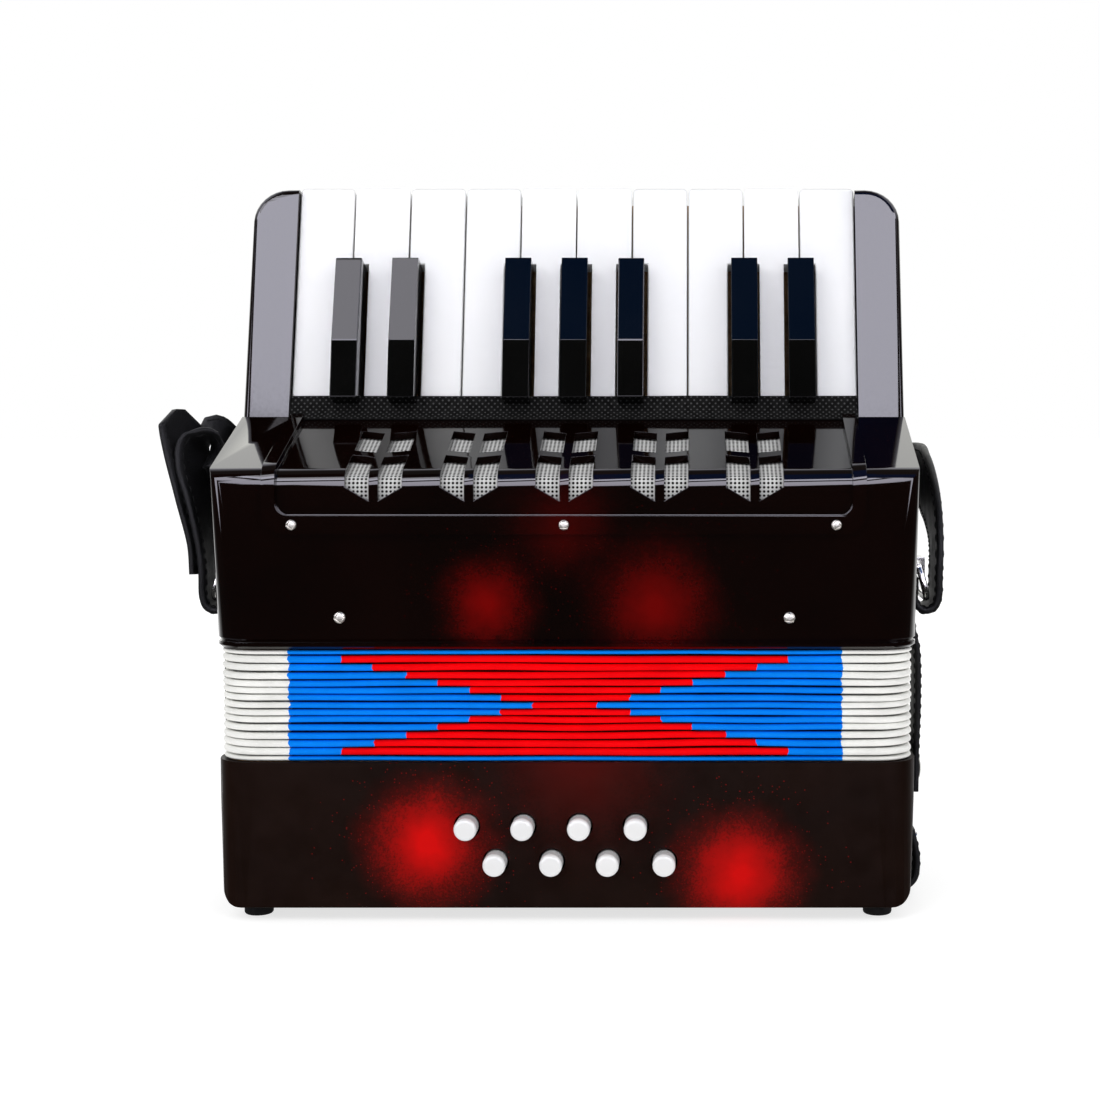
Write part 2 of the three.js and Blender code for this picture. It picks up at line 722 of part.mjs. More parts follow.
function ringBracket() {
  const plate = box([GAP, -9, PIVOT.z - 3], [GAP + 1.2, 9, PIVOT.z + 10]);
  const clip = box([GAP, -6, PIVOT.z - 2.7], [PIVOT.out + 2.7, 6, PIVOT.z + 2.9]);
  const hole = rod(1.95, 20, 14).rotateZ(Math.PI / 2).translate(PIVOT.out, 0, PIVOT.z);
  return plate.add(clip).subtract(solidOf(hole));
}

// The ring lies in its own plane: x out from the pivot, y along the pivot.
function strapRing() {
  const { reach, half, bar } = RING;
  const b = bar / 2;
  const outer = rounded(rectangle(-b, -half - b, reach + b, half + b, 2.4), 3);
  const hole = rounded(rectangle(b, -half + b, reach - b, half - b, 1.2), 3);
  const thick = bar - 0.1;
  const frame = planPrism(outer, -thick / 2, thick / 2);
  const ring = frame.subtract(planPrism(hole, -thick, thick));
  return geometryOf(ring).rotateY(RING_HANG).translate(PIVOT.out, 0, PIVOT.z);
}

const bellowsStrapKnots = [
  [[1.3, 0, 96], [0, 1, 0]],
  [[1.5, 0, 91.5], [0, 1, 0]],
  [[3, 0, 84], [0, 1, 0]],
  [[3.4, 0, 66], [0, 1, 0]],
  [[2.9, 0, 50], [0, 1, 0]],
  [[2.9, 0, 44], [0, 1, 0]],
  [[2.8, 0, 36], [0, 1, 0]],
];

for (const [side, sign] of [["left", -1], ["right", 1]]) {
  const place = (mesh) => {
    mesh.position.set(sign * HALF, STRAP_Y, 0);
    if (sign < 0) mesh.rotation.z = Math.PI;
  };
  place(add(`strap_bracket_${side}`, ringBracket(), chrome));
  place(add(`strap_ring_${side}`, strapRing(), chrome));
  place(add(`bellows_strap_${side}`, strap(bellowsStrapKnots, 18, 1.8, 14), leatherette));
  const stud = [
    [0, 0],
    [4.2, 0],
    [4.2, 0.9],
    [3, 1.4],
    [0, 1.4],
  ];
  const button = turned(stud, 14).rotateY(Math.PI / 2).translate(GAP, 0, 43);
  place(add(`snap_stud_${side}`, button, chrome));
}

// The hand strap runs across the end face, between the feet, and up both sides.
function handStrap() {
  const side = (s) => [
    [[s * 114.6, 0, 23], [0, 1, 0]],
    [[s * 116.4, 0, 13], [0, 1, 0]],
    [[s * 115.4, 0, 6], [0, 1, 0]],
    [[s * 110.5, 0, 2.6], [0, 1, 0]],
    [[s * 102, 0, 2.1], [0, 1, 0]],
  ];
  const knots = [...side(-1), [[0, 0, 2.1], [0, 1, 0]], ...side(1).reverse()];
  return strap(knots, 44, 2, 40);
}

add("hand_strap", handStrap(), leatherette);

// The shoulder strap leaves each ring upwards and crosses behind the body.
function shoulderStrap() {
  const loop = (s) => [
    [[s * 114.9, STRAP_Y, 108.5], [0, -s, 0]],
    [[s * 114.7, STRAP_Y, 101.8], [0, -s, 0]],
    [[s * 116, STRAP_Y, 98.6], [0, -s, 0]],
    [[s * 118.6, STRAP_Y, 97.4], [0, -s, 0]],
    [[s * 121.4, STRAP_Y, 98.6], [0, -s, 0]],
    [[s * 122.7, STRAP_Y, 101.8], [0, -s, 0]],
    [[s * 122.9, STRAP_Y, 108.5], [0, -s, 0]],
  ];
  const knots = [
    ...loop(-1),
    [[-124.8, -12.5, 119], [0.1, 1, 0]],
    [[-128.6, -11, 134], [0.25, 1, 0]],
    [[-132.8, -8, 149], [0.35, 1, 0]],
    [[-133.4, -6, 158.5], [0.35, 1, 0]],
    [[-129.4, -4.5, 162.5], [0.35, 1, 0]],
    [[-126, -1, 156.5], [0.3, 1, 0.1]],
    [[-124.2, 7, 149], [0.15, 0.9, 0.5]],
    [[-123.2, 22, 145], [0, 0.3, 1]],
    [[-122, 42, 146], [0, 0, 1]],
    [[-108, 67, 141], [0, 0, 1]],
    [[-60, 78, 130], [0, 0, 1]],
    [[0, 82, 126], [0, 0, 1]],
    [[60, 78, 130], [0, 0, 1]],
    [[106, 68, 138], [0, 0, 1]],
    [[122, 48, 141], [0, -0.1, 1]],
    [[123, 18, 138], [0, -0.4, 1]],
    [[123.4, -5, 127], [0, -0.9, 0.6]],
    [[123.2, -12, 117], [0, -1, 0.1]],
    ...loop(1).reverse(),
  ];
  return strap(knots, 24, 2.2, 96);
}

add("shoulder_strap", shoulderStrap(), leatherette);

export default model;
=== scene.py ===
"""The looks of a small piano accordion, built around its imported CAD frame.

Everything is in metres in the row frame: X along the keyboard, Y from the front to the
player's side, Z from the bass end up to the keyboard.
"""

import math

import bmesh
import bpy
import numpy as np
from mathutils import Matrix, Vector


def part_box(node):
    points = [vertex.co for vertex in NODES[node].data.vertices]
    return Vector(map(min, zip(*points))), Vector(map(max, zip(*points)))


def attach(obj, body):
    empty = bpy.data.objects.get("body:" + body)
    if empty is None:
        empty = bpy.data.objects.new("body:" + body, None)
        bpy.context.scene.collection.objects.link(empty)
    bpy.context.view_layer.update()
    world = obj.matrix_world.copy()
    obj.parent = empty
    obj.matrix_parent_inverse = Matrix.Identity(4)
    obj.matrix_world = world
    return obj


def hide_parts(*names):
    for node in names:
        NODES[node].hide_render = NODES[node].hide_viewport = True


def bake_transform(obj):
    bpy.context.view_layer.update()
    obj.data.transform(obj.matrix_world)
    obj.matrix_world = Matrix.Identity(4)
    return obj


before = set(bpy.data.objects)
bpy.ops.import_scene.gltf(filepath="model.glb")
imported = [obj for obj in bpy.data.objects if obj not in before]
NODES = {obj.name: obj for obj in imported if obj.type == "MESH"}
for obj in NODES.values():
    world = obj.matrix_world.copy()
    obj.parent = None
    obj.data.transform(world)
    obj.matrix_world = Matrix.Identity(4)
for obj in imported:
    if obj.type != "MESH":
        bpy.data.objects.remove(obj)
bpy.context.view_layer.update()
MM = 0.001

# Places taken from the frame
CASING_LOW, CASING_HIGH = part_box("treble_casing")
MID_X = (CASING_LOW.x + CASING_HIGH.x) / 2
MID_Y = (CASING_LOW.y + CASING_HIGH.y) / 2
FRONT = CASING_LOW.y
HALF_X = (CASING_HIGH.x - CASING_LOW.x) / 2
HALF_Y = (CASING_HIGH.y - CASING_LOW.y) / 2
CREASE = Vector((MID_X, FRONT + 50 * MM, 162 * MM))
LEAN = math.radians(16)
LEDGE_CORNER_Z = 144.2 * MM
LEDGE_SLOPE = (CREASE.z - LEDGE_CORNER_Z) / (CREASE.y - FRONT)
EDGE_ROUND = 6 * MM
BASS, TREBLE = "bass body", "treble body"
SIDES = ((-1, "left"), (1, "right"))


def grey(level):
    return (level, level, level)


def add(obj):
    bpy.context.scene.collection.objects.link(obj)


# Camera and light


FOCAL_LENGTH = 64.6
VIEW_SHIFT = -0.1336  # sideways, as a share of the picture's width
EYE = (MID_X + 42.1 * MM, FRONT - 625 * MM, 157.8 * MM)
TILT_DOWN = 3.5  # degrees
STUDIO_POWER = 10.0


def add_camera():
    """The viewpoint: level with the ledge, to the right of the middle, looking slightly down."""
    data = bpy.data.cameras.new("view")
    data.sensor_width = 36
    data.lens = FOCAL_LENGTH
    data.shift_x = VIEW_SHIFT
    data.clip_start = 0.01
    camera = bpy.data.objects.new("view", data)
    camera.location = EYE
    camera.rotation_euler = (math.radians(90 - TILT_DOWN), 0, 0)
    add(camera)
    bpy.context.scene.camera = camera


def add_area_light(name, place_at, size, power):
    """A soft light aimed at the middle of the object, which reflections don't show."""
    data = bpy.data.lights.new(name, "AREA")
    data.shape = "RECTANGLE"
    data.size, data.size_y = size
    data.energy = power
    light = bpy.data.objects.new(name, data)
    light.location = place_at
    direction = Vector((MID_X, MID_Y, 0.12)) - Vector(place_at)
    light.rotation_euler = direction.to_track_quat("-Z", "Y").to_euler()
    light.visible_camera = light.visible_glossy = False
    add(light)


def add_lights():
    add_area_light("key_light", (-0.7, -1.1, 1.2), (0.9, 0.9), 5.5)
    add_area_light("fill_light", (0.9, -0.9, 0.7), (0.8, 0.8), 2.0)
    add_area_light("back_light", (0.1, 1.3, 1.0), (1.2, 0.6), 4.0)


def add_floor():
    """A wide, evenly lit white floor, a hair below the feet."""
    reach, drop = 30.0, 0.02 * MM
    corners = [(x * reach, y * reach, -drop) for x, y in ((-1, -1), (1, -1), (1, 1), (-1, 1))]
    mesh = bpy.data.meshes.new("floor")
    mesh.from_pydata(corners, [], [(0, 1, 2, 3)])
    floor = bpy.data.objects.new("floor", mesh)
    floor.visible_glossy = False
    add(floor)
    nodes = Material("floor")
    pale = nodes.tones(nodes.noise(nodes.coords(), 3, 2), grey(0.50), grey(0.54))
    nodes.shade(color=pale, rough=0.8, specular=0.0)
    nodes.put(nodes.shader.inputs["Emission Color"], grey(1.0))
    nodes.put(nodes.shader.inputs["Emission Strength"], 0.72)
    mesh.materials.append(nodes.material)


def add_world():
    """White to the camera and pale to matt surfaces, while glossy ones see a studio.

    Its soft box in front, flanks and back wall are ramps by the sine of the height.
    """
    scene = bpy.context.scene
    world = bpy.data.worlds.new("studio")
    scene.world = world
    world.use_nodes = True
    n = Nodes(world.node_tree)
    output = n.new("ShaderNodeOutputWorld")
    background = n.new("ShaderNodeBackground")
    n.link(background.outputs[0], output.inputs[0])
    direction = n.coords("Generated")
    x, y, z = (n.axis(direction, name) for name in "XYZ")
    dark, dim, side_wall = grey(0.003), grey(0.01), (0.16, 0.16, 0.18)
    band_color = (0.52, 0.51, 0.56)
    box_bands = [
        (0.09, dark), (0.11, (0.62, 0.60, 0.70)),
        (0.40, (0.70, 0.68, 0.78)), (0.42, dark),
        (0.512, dark), (0.525, (0.84, 0.83, 0.96)),
        (0.65, (0.86, 0.85, 0.98)), (0.66, band_color),
        (0.765, band_color), (0.785, dark),
    ]
    box = n.ramp(z, box_bands)
    behind_bands = [
        (0.0, grey(0.11)), (0.45, (0.20, 0.20, 0.19)), (0.75, (0.24, 0.24, 0.23)), (0.92, dim),
    ]
    behind = n.ramp(z, behind_bands)
    flank_bands = [(0.0, dark), (0.35, dim), (0.55, side_wall), (0.85, side_wall), (0.95, dim)]
    flank = n.ramp(z, flank_bands)
    side = n.mix(n.ramp(y, [(0.45, grey(0)), (0.80, grey(1))]), flank, behind)
    # The box's top bands are navy, apart from their left part.
    upper = n.ramp(z, [(0.645, grey(0)), (0.646, grey(1))])
    gap = n.math("MULTIPLY", n.math("GREATER_THAN", x, -0.115), upper)
    navy = n.mix(gap, box, (0.0012, 0.0105, 0.036))
    studio = n.mix(n.math("LESS_THAN", y, -0.25), side, navy)
    bright = n.new("ShaderNodeVectorMath", operation="SCALE")
    n.link(studio, bright.inputs[0])
    bright.inputs["Scale"].default_value = STUDIO_POWER
    path = n.new("ShaderNodeLightPath").outputs
    seen = n.mix(path["Is Glossy Ray"], grey(0.62), bright.outputs[0])
    n.link(n.mix(path["Is Camera Ray"], seen, grey(1.0)), background.inputs[0])
    scene.view_settings.view_transform = "Standard"
    scene.view_settings.look = "None"


# Materials


class Nodes:
    """A node tree and short names for the nodes that it is made of."""

    def __init__(self, tree):
        self.tree = tree
        self.tree.nodes.clear()

    def new(self, kind, **settings):
        node = self.tree.nodes.new(kind)
        for key, value in settings.items():
            setattr(node, key, value)
        return node

    def link(self, source, target):
        self.tree.links.new(source, target)

    def put(self, socket, value):
        if isinstance(value, bpy.types.NodeSocket):
            self.link(value, socket)
        elif isinstance(value, tuple) and len(value) == 3 and socket.type == "RGBA":
            socket.default_value = (*value, 1)
        else:
            socket.default_value = value

    def coords(self, output="Object"):
        return self.new("ShaderNodeTexCoord").outputs[output]

    def attribute(self, name, output="Vector"):
        return self.new("ShaderNodeAttribute", attribute_name=name).outputs[output]

    def scaled(self, vector, scale):
        node = self.new("ShaderNodeMapping")
        self.put(node.inputs["Vector"], vector)
        node.inputs["Scale"].default_value = scale if isinstance(scale, tuple) else (scale,) * 3
        return node.outputs[0]

    def noise(self, vector, scale, detail=2, rough=0.5):
        node = self.new("ShaderNodeTexNoise")
        self.put(node.inputs["Vector"], vector)
        node.inputs["Scale"].default_value = scale
        node.inputs["Detail"].default_value = detail
        node.inputs["Roughness"].default_value = rough
        return node.outputs["Fac"]

    def voronoi(self, vector, scale, feature="F1", output="Distance"):
        node = self.new("ShaderNodeTexVoronoi", feature=feature)
        self.put(node.inputs["Vector"], vector)
        node.inputs["Scale"].default_value = scale
        return node.outputs[output]

    def math(self, operation, a, b=0.0, c=0.0):
        node = self.new("ShaderNodeMath", operation=operation)
        for socket, value in zip(node.inputs, (a, b, c)):
            self.put(socket, value)
        return node.outputs[0]

    def vector_math(self, operation, a, b=(0, 0, 0)):
        node = self.new("ShaderNodeVectorMath", operation=operation)
        self.put(node.inputs[0], a)
        self.put(node.inputs[1], b)
        return node.outputs["Value" if operation == "DISTANCE" else "Vector"]

    def axis(self, vector, name):
        node = self.new("ShaderNodeSeparateXYZ")
        self.put(node.inputs[0], vector)
        return node.outputs[name]

    def ramp(self, value, stops):
        node = self.new("ShaderNodeValToRGB")
        elements = node.color_ramp.elements
        while len(elements) < len(stops):
            elements.new(0.5)
        for element, (position, color) in zip(elements, stops):
            element.position = position
            element.color = (*color, 1)
        self.put(node.inputs[0], value)
        return node.outputs[0]

    def tones(self, value, low, high):
        """Two colours that a noise wanders between."""
        return self.ramp(value, [(0.3, low), (0.7, high)])

    def between(self, value, low, high, out_low=0.0, out_high=1.0):
        node = self.new("ShaderNodeMapRange")
        self.put(node.inputs["Value"], value)
        limits = {"From Min": low, "From Max": high, "To Min": out_low, "To Max": out_high}
        for name, limit in limits.items():
            node.inputs[name].default_value = limit
        return node.outputs[0]

    def mix(self, factor, a, b):
        node = self.new("ShaderNodeMix", data_type="RGBA")
        self.put(node.inputs[0], factor)
        self.put(node.inputs[6], a)
        self.put(node.inputs[7], b)
        return node.outputs[2]

    def bump(self, height, strength, depth):
        """Relief from a height; depth is in millimetres."""
        node = self.new("ShaderNodeBump")
        self.put(node.inputs["Height"], height)
        node.inputs["Strength"].default_value = strength
        node.inputs["Distance"].default_value = depth * MM
        return node.outputs[0]


class Material(Nodes):
    """A material with one principled shader."""

    def __init__(self, name):
        self.material = bpy.data.materials.new(name)
        self.material.use_nodes = True
        super().__init__(self.material.node_tree)
        output = self.new("ShaderNodeOutputMaterial")
        self.shader = self.new("ShaderNodeBsdfPrincipled")
        self.link(self.shader.outputs[0], output.inputs[0])

    def shade(self, color, rough, normal=None, metal=0.0, specular=0.5):
        sockets = {
            "Base Color": color, "Roughness": rough,
            "Metallic": metal, "Specular IOR Level": specular,
        }
        if normal is not None:
            sockets["Normal"] = normal
        for name, value in sockets.items():
            self.put(self.shader.inputs[name], value)
        return self.material


# Sprayed red bursts: the middle and the radius in millimetres, and how strong each is.
BURSTS = {
    "gloss_casing": [((-24.4, 102.2), 13, 0.24), ((28.7, 102.2), 17, 0.20), ((0, 127), 16, 0.05)],
    "satin_casing": [((-44, 25), 17, 0.95), ((55.6, 15.4), 17, 0.9), ((5, 52), 28, 0.07)],
}
SPRAY_RED = (0.66, 0.0012, 0.001)
DROPLETS = 1350  # per metre
DROPLET_RADIUS = 0.26  # as a share of the space between droplets


def sprayed(n, base, bursts, position):
    """Base colour with soft red bursts on the front, which break into droplets at their rims."""
    speck = n.noise(position, 1500, 2, 0.6)
    coarse = n.noise(position, 110, 3, 0.6)
    is_drop = n.math("LESS_THAN", n.voronoi(position, DROPLETS), DROPLET_RADIUS)
    drop_kind = n.axis(n.voronoi(position, DROPLETS, output="Color"), "X")
    front = n.between(n.axis(position, "Y"), FRONT + 1 * MM, FRONT + 9 * MM, 1, 0)
    color = base
    for (x, z), radius, strength in bursts:
        radius *= MM
        centre = (MID_X + x * MM, 0, z * MM)
        flat = n.vector_math("MULTIPLY", position, (1, 0, 1))
        away = n.vector_math("DISTANCE", flat, centre)
        away = n.math("MULTIPLY_ADD", n.math("SUBTRACT", coarse, 0.5), 9 * MM, away)
        glow = n.math("POWER", n.between(away, radius * 0.15, radius * 1.6, 1, 0), 1.8)
        fine = n.between(n.math("MULTIPLY_ADD", glow, 0.75, speck), 0.55, 0.85)
        mist = n.math("MULTIPLY", glow, n.math("MULTIPLY_ADD", fine, 0.6, 0.4))
        near = n.math("POWER", n.between(away, radius * 0.4, radius * 2.7, 0.9, 0), 2.6)
        dots = n.math("MULTIPLY", is_drop, n.math("LESS_THAN", drop_kind, near))
        mist = n.math("MAXIMUM", mist, n.math("MULTIPLY", dots, 0.22))
        mist = n.math("MULTIPLY", n.math("MULTIPLY", mist, front), strength)
        color = n.mix(mist, color, SPRAY_RED)
    return color


def gloss_casing():
    n = Material("gloss_casing")
    p = n.coords()
    mottled = n.noise(p, 25, 3)
    base = n.tones(mottled, (0.0020, 0.0004, 0.0002), (0.0040, 0.0009, 0.0005))
    color = sprayed(n, base, BURSTS["gloss_casing"], p)
    rough = n.between(n.noise(p, 900, 4), 0.35, 0.75, 0.04, 0.085)
    return n.shade(color, rough, n.bump(n.noise(p, 70, 2), 0.12, 0.05))


def satin_casing():
    n = Material("satin_casing")
    p = n.coords()
    mottled = n.noise(p, 40, 4)
    base = n.tones(mottled, (0.0050, 0.0020, 0.0011), (0.0080, 0.0032, 0.0018))
    color = sprayed(n, base, BURSTS["satin_casing"], p)
    rough = n.between(n.noise(p, 160, 3), 0.3, 0.7, 0.36, 0.46)
    return n.shade(color, rough, n.bump(n.noise(p, 1800, 2), 0.12, 0.03), specular=0.06)


def white_plastic():
    n = Material("white_plastic")
    p = n.coords()
    color = n.tones(n.noise(p, 18, 2), (0.83, 0.84, 0.85), grey(0.88))
    rough = n.between(n.noise(p, 700, 3), 0.3, 0.7, 0.16, 0.26)
    return n.shade(color, rough, n.bump(n.noise(p, 110, 2), 0.05, 0.05))


def black_plastic():
    n = Material("black_plastic")
    p = n.coords()
    color = n.tones(n.noise(p, 30, 3), grey(0.0012), (0.0026, 0.0026, 0.0025))
    rough = n.between(n.noise(p, 900, 3), 0.3, 0.75, 0.02, 0.05)
    normal = n.bump(n.noise(p, 90, 2), 0.06, 0.05)
    return n.shade(color, rough, normal, specular=0.4)


def chrome():
    n = Material("chrome")
    p = n.coords()
    streaks = n.noise(n.scaled(p, (1, 1, 9)), 900, 3)
    color = n.tones(n.noise(p, 300, 2), (0.60, 0.59, 0.57), (0.74, 0.73, 0.71))
    rough = n.between(streaks, 0.3, 0.7, 0.12, 0.28)
    return n.shade(color, rough, n.bump(streaks, 0.08, 0.02), metal=1.0)


def nickel():
    n = Material("nickel")
    p = n.coords()
    color = n.tones(n.noise(p, 900, 2), (0.46, 0.44, 0.39), (0.68, 0.66, 0.60))
    rough = n.between(n.noise(p, 2500, 3), 0.3, 0.7, 0.28, 0.42)
    normal = n.bump(n.noise(p, 2500, 2), 0.1, 0.02)
    return n.shade(color, rough, normal, metal=0.8)


def wood():
    n = Material("wood")
    p = n.coords()
    bent = n.vector_math("ADD", n.scaled(p, (40, 220, 220)), n.scaled(p, 12))
    grain = n.noise(bent, 1.0, 6, 0.65)
    pores = n.noise(n.scaled(p, (150, 2600, 2600)), 1.0, 2)
    dark, middle, pale = (0.21, 0.105, 0.035), (0.34, 0.19, 0.075), (0.42, 0.26, 0.12)
    color = n.ramp(grain, [(0.3, dark), (0.55, middle), (0.75, pale)])
    return n.shade(color, 0.62, n.bump(pores, 0.35, 0.08))


def reed_metal():
    n = Material("reed_metal")
    p = n.coords()
    brushed = n.noise(n.scaled(p, (200, 3000, 200)), 1.0, 3)
    color = n.tones(brushed, (0.42, 0.33, 0.16), (0.60, 0.49, 0.26))
    return n.shade(color, 0.34, n.bump(brushed, 0.15, 0.02), metal=1.0)


def rubber():
    n = Material("rubber")
    p = n.coords()
    speckle = n.noise(p, 1500, 4)
    color = n.tones(n.noise(p, 200, 3), grey(0.006), (0.014, 0.013, 0.013))
    return n.shade(color, 0.72, n.bump(speckle, 0.3, 0.05), specular=0.08)


def leatherette():
    n = Material("leatherette")
    p = n.attribute("rest")
    cells = n.voronoi(p, 900, "DISTANCE_TO_EDGE")
    creases = n.noise(p, 160, 4, 0.65)
    height = n.math("MULTIPLY_ADD", creases, 0.8, n.between(cells, 0, 0.12, 0, 0.5))
    color = n.tones(creases, (0.0035, 0.0035, 0.0038), (0.009, 0.009, 0.0095))
    rough = n.between(creases, 0.3, 0.7, 0.42, 0.6)
    return n.shade(color, rough, n.bump(height, 0.5, 0.16), specular=0.12)


def thread():
    n = Material("thread")
    p = n.attribute("rest")
    twist = n.noise(n.scaled(p, 3000), 1.0, 2)
    color = n.tones(twist, grey(0.006), (0.020, 0.020, 0.021))
    return n.shade(color, 0.75, n.bump(twist, 0.4, 0.05), specular=0.05)


BLUE_HALF = 88.4 * MM  # half of the width of the blue stretch


def tape(name, dim):
    """Cloth tape over the folds: red in a row's middle, then blue, then white to the corners; a dim
    below 1 darkens all of it as painted shade.
    """
    n = Material(name)
    p = n.attribute("rest")
    across = n.math("ABSOLUTE", n.math("SUBTRACT", n.axis(p, "X"), MID_X))
    waver = n.noise(n.scaled(p, (60, 60, 420)), 1.0, 2)
    across = n.math("MULTIPLY_ADD", n.math("SUBTRACT", waver, 0.5), 2.6 * MM, across)
    weave = n.noise(n.scaled(p, (900, 900, 2400)), 1.0, 3)
    shade = n.noise(n.scaled(p, (60, 60, 160)), 1.0, 4, 0.7)

    # light scales every colour; below 1 it is painted shade.
    def tone(red, green, blue, light):
        pale = (red * light, green * light, blue * light)
        return n.tones(shade, tuple(0.82 * c for c in pale), pale)

    blue, white = tone(0.0, 0.235, 0.95, dim), tone(0.97, 0.97, 0.94, 0.7 + 0.3 * dim)
    color = n.mix(n.math("GREATER_THAN", across, BLUE_HALF), blue, white)
    is_red = n.math("LESS_THAN", across, n.attribute("red_half", "Fac"))
    color = n.mix(is_red, color, tone(1.0, 0.0, 0.003, dim))
    height = n.math("MULTIPLY_ADD", shade, 0.8, weave)
    return n.shade(color, 0.5, n.bump(height, 0.35, 0.08), specular=0.05)


def dotted_mesh(name, thread_color, hole_color, pitch, dot, row=1.0, offset=0.0, bump=0.5):
    """Cloth with a grid of round holes or dots.

    dot, row and offset are shares of the pitch: a dot's radius, the space between rows, and
    the shift of every other row.
    """
    n = Material(name)
    p = n.attribute("flat")
    grid = n.scaled(p, 1 / pitch)
    u, v = n.axis(grid, "X"), n.math("DIVIDE", n.axis(grid, "Y"), row)
    count = n.math("FLOOR", v)
    stagger = n.math("MULTIPLY", n.math("MODULO", n.math("ABSOLUTE", count), 2), offset)
    du = n.math("SUBTRACT", n.math("FRACT", n.math("ADD", u, stagger)), 0.5)
    dv = n.math("MULTIPLY", n.math("SUBTRACT", n.math("FRACT", v), 0.5), row)
    away = n.math("SQRT", n.math("ADD", n.math("MULTIPLY", du, du), n.math("MULTIPLY", dv, dv)))
    away = n.math("MULTIPLY_ADD", n.math("SUBTRACT", n.noise(grid, 2.5, 2), 0.5), 0.12, away)
    soft = 0.05
    hole = n.between(away, dot - soft, dot + soft, 1, 0)
    wear = n.noise(p, 400, 3)
    color = n.mix(hole, n.mix(n.math("MULTIPLY", wear, 0.25), thread_color, hole_color), hole_color)
    height = n.math("MULTIPLY", hole, -1.0)
    return n.shade(color, 0.85, n.bump(height, bump, 0.25), specular=0.0)


MATERIALS = {}


def make_materials():
    for make in (gloss_casing, satin_casing, white_plastic, black_plastic, chrome, nickel, wood,
                 reed_metal, rubber, leatherette, thread):
        MATERIALS[make.__name__] = make()
    MATERIALS["bellows_tape"] = tape("bellows_tape", dim=1.0)
    # The fold walls are the tape darkened to 0.14, and its white to 0.74: painted shade in the
    # valleys between the rows.
    MATERIALS["bellows_walls_painted_shade"] = tape("bellows_walls_painted_shade", dim=0.14)
    MATERIALS["white_mesh"] = dotted_mesh("white_mesh", grey(0.84), grey(0.004), 1.32 * MM, 0.31)
    MATERIALS["black_mesh"] = dotted_mesh(
        "black_mesh", grey(0.0008), (0.085, 0.085, 0.088), 2.1 * MM, 0.14,
        row=0.56, offset=0.5, bump=0.2,
    )


# Mesh helpers


def place(obj, body, slot, *replaced):
    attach(obj, body)
    if replaced:
        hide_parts(*replaced)
    return obj


def new_mesh(name, vertices, faces, material, smooth=True, sharp=None):
    """A new object in the row frame, with its rest position stored for the materials."""
    mesh = bpy.data.meshes.new(name)
    mesh.from_pydata([tuple(v) for v in vertices], [], faces)
    mesh.polygons.foreach_set("use_smooth", [smooth] * len(faces))
    mesh.materials.append(MATERIALS[material])
    turn_out(mesh)
    if sharp is not None:
        mesh.set_sharp_from_angle(angle=math.radians(sharp))
    rest = mesh.attributes.new("rest", "FLOAT_VECTOR", "POINT")
    rest.data.foreach_set("vector", np.array([v.co for v in mesh.vertices], np.float32).ravel())
    obj = bpy.data.objects.new(name, mesh)
    add(obj)
    return obj


def turn_out(mesh):
    """Turns all faces outwards."""
    made = bmesh.new()
    made.from_mesh(mesh)
    bmesh.ops.recalc_face_normals(made, faces=made.faces)
    made.to_mesh(mesh)
    made.free()


def grid_faces(rows, columns, close_rows=False, close_columns=False):
    faces = []
    for i in range(rows if close_rows else rows - 1):
        for j in range(columns if close_columns else columns - 1):
            here, above = i * columns, (i + 1) % rows * columns
            right = (j + 1) % columns
            faces.append((here + j, here + right, above + right, above + j))
    return faces


def loft(rings, close_rows=False):
    """Vertices and faces of a skin over rings with the same number of points each."""
    rings = np.asarray(rings, float)
    rows, columns = rings.shape[:2]
    faces = grid_faces(rows, columns, close_rows, True)
    if not close_rows:
        faces.append(tuple(range(columns))[::-1])
        faces.append(tuple((rows - 1) * columns + j for j in range(columns)))
    return rings.reshape(-1, 3), faces


def join_parts(parts):
    vertices, faces, start = [], [], 0
    for part_vertices, part_faces in parts:
        vertices.extend(tuple(v) for v in part_vertices)
        faces.extend(tuple(start + i for i in face) for face in part_faces)
        start += len(part_vertices)
    return vertices, faces


def spokes(axis, count):
    """A direction as a unit vector, and angles and directions all round it."""
    axis = Vector(axis).normalized()
    side = axis.orthogonal().normalized()
    other = axis.cross(side)
    angles = [2 * math.pi * k / count for k in range(count)]
    return axis, angles, [side * math.cos(a) + other * math.sin(a) for a in angles]


def lathe(profile, origin, axis):
    """A round piece from (radius, height) points; height runs along axis from origin."""
    axis, _, outs = spokes(axis, 48)
    return loft([
        [tuple(Vector(origin) + out * max(radius, 1e-6) + axis * height) for out in outs]
        for radius, height in profile
    ])


def arc(cx, cy, radius, start, end, steps):
    """Points along an arc between two angles in degrees."""
    angles = [math.radians(start + (end - start) * k / steps) for k in range(steps + 1)]
    return [(cx + radius * math.cos(a), cy + radius * math.sin(a)) for a in angles]


def catmull(points, steps):
    """Points on a centripetal curve through the given ones."""
    points = np.asarray(points, float)
    ends = [2 * points[0] - points[1], *points, 2 * points[-1] - points[-2]]
    result = []
    spans = len(points) - 1
    for i in range(steps + 1):
        t = spans * i / steps
        k = min(int(t), spans - 1)
        w = t - k
        four = [np.asarray(ends[k + j]) for j in range(4)]
        d0, d1, d2 = (max(np.linalg.norm(b - a) ** 0.5, 1e-5) for a, b in zip(four, four[1:]))
        p0, p1, p2, p3 = four
        m1 = ((p1 - p0) / d0 - (p2 - p0) / (d0 + d1) + (p2 - p1) / d1) * d1
        m2 = ((p2 - p1) / d1 - (p3 - p1) / (d1 + d2) + (p3 - p2) / d2) * d1
        result.append(
            p1 + w * m1 + w * w * (3 * (p2 - p1) - 2 * m1 - m2) + w**3 * (2 * (p1 - p2) + m1 + m2)
        )
    return np.array(result)


def unit(v):
    length = np.linalg.norm(v, axis=-1, keepdims=True)
    return v / np.maximum(length, 1e-9)


# CAD nodes that keep their own shape


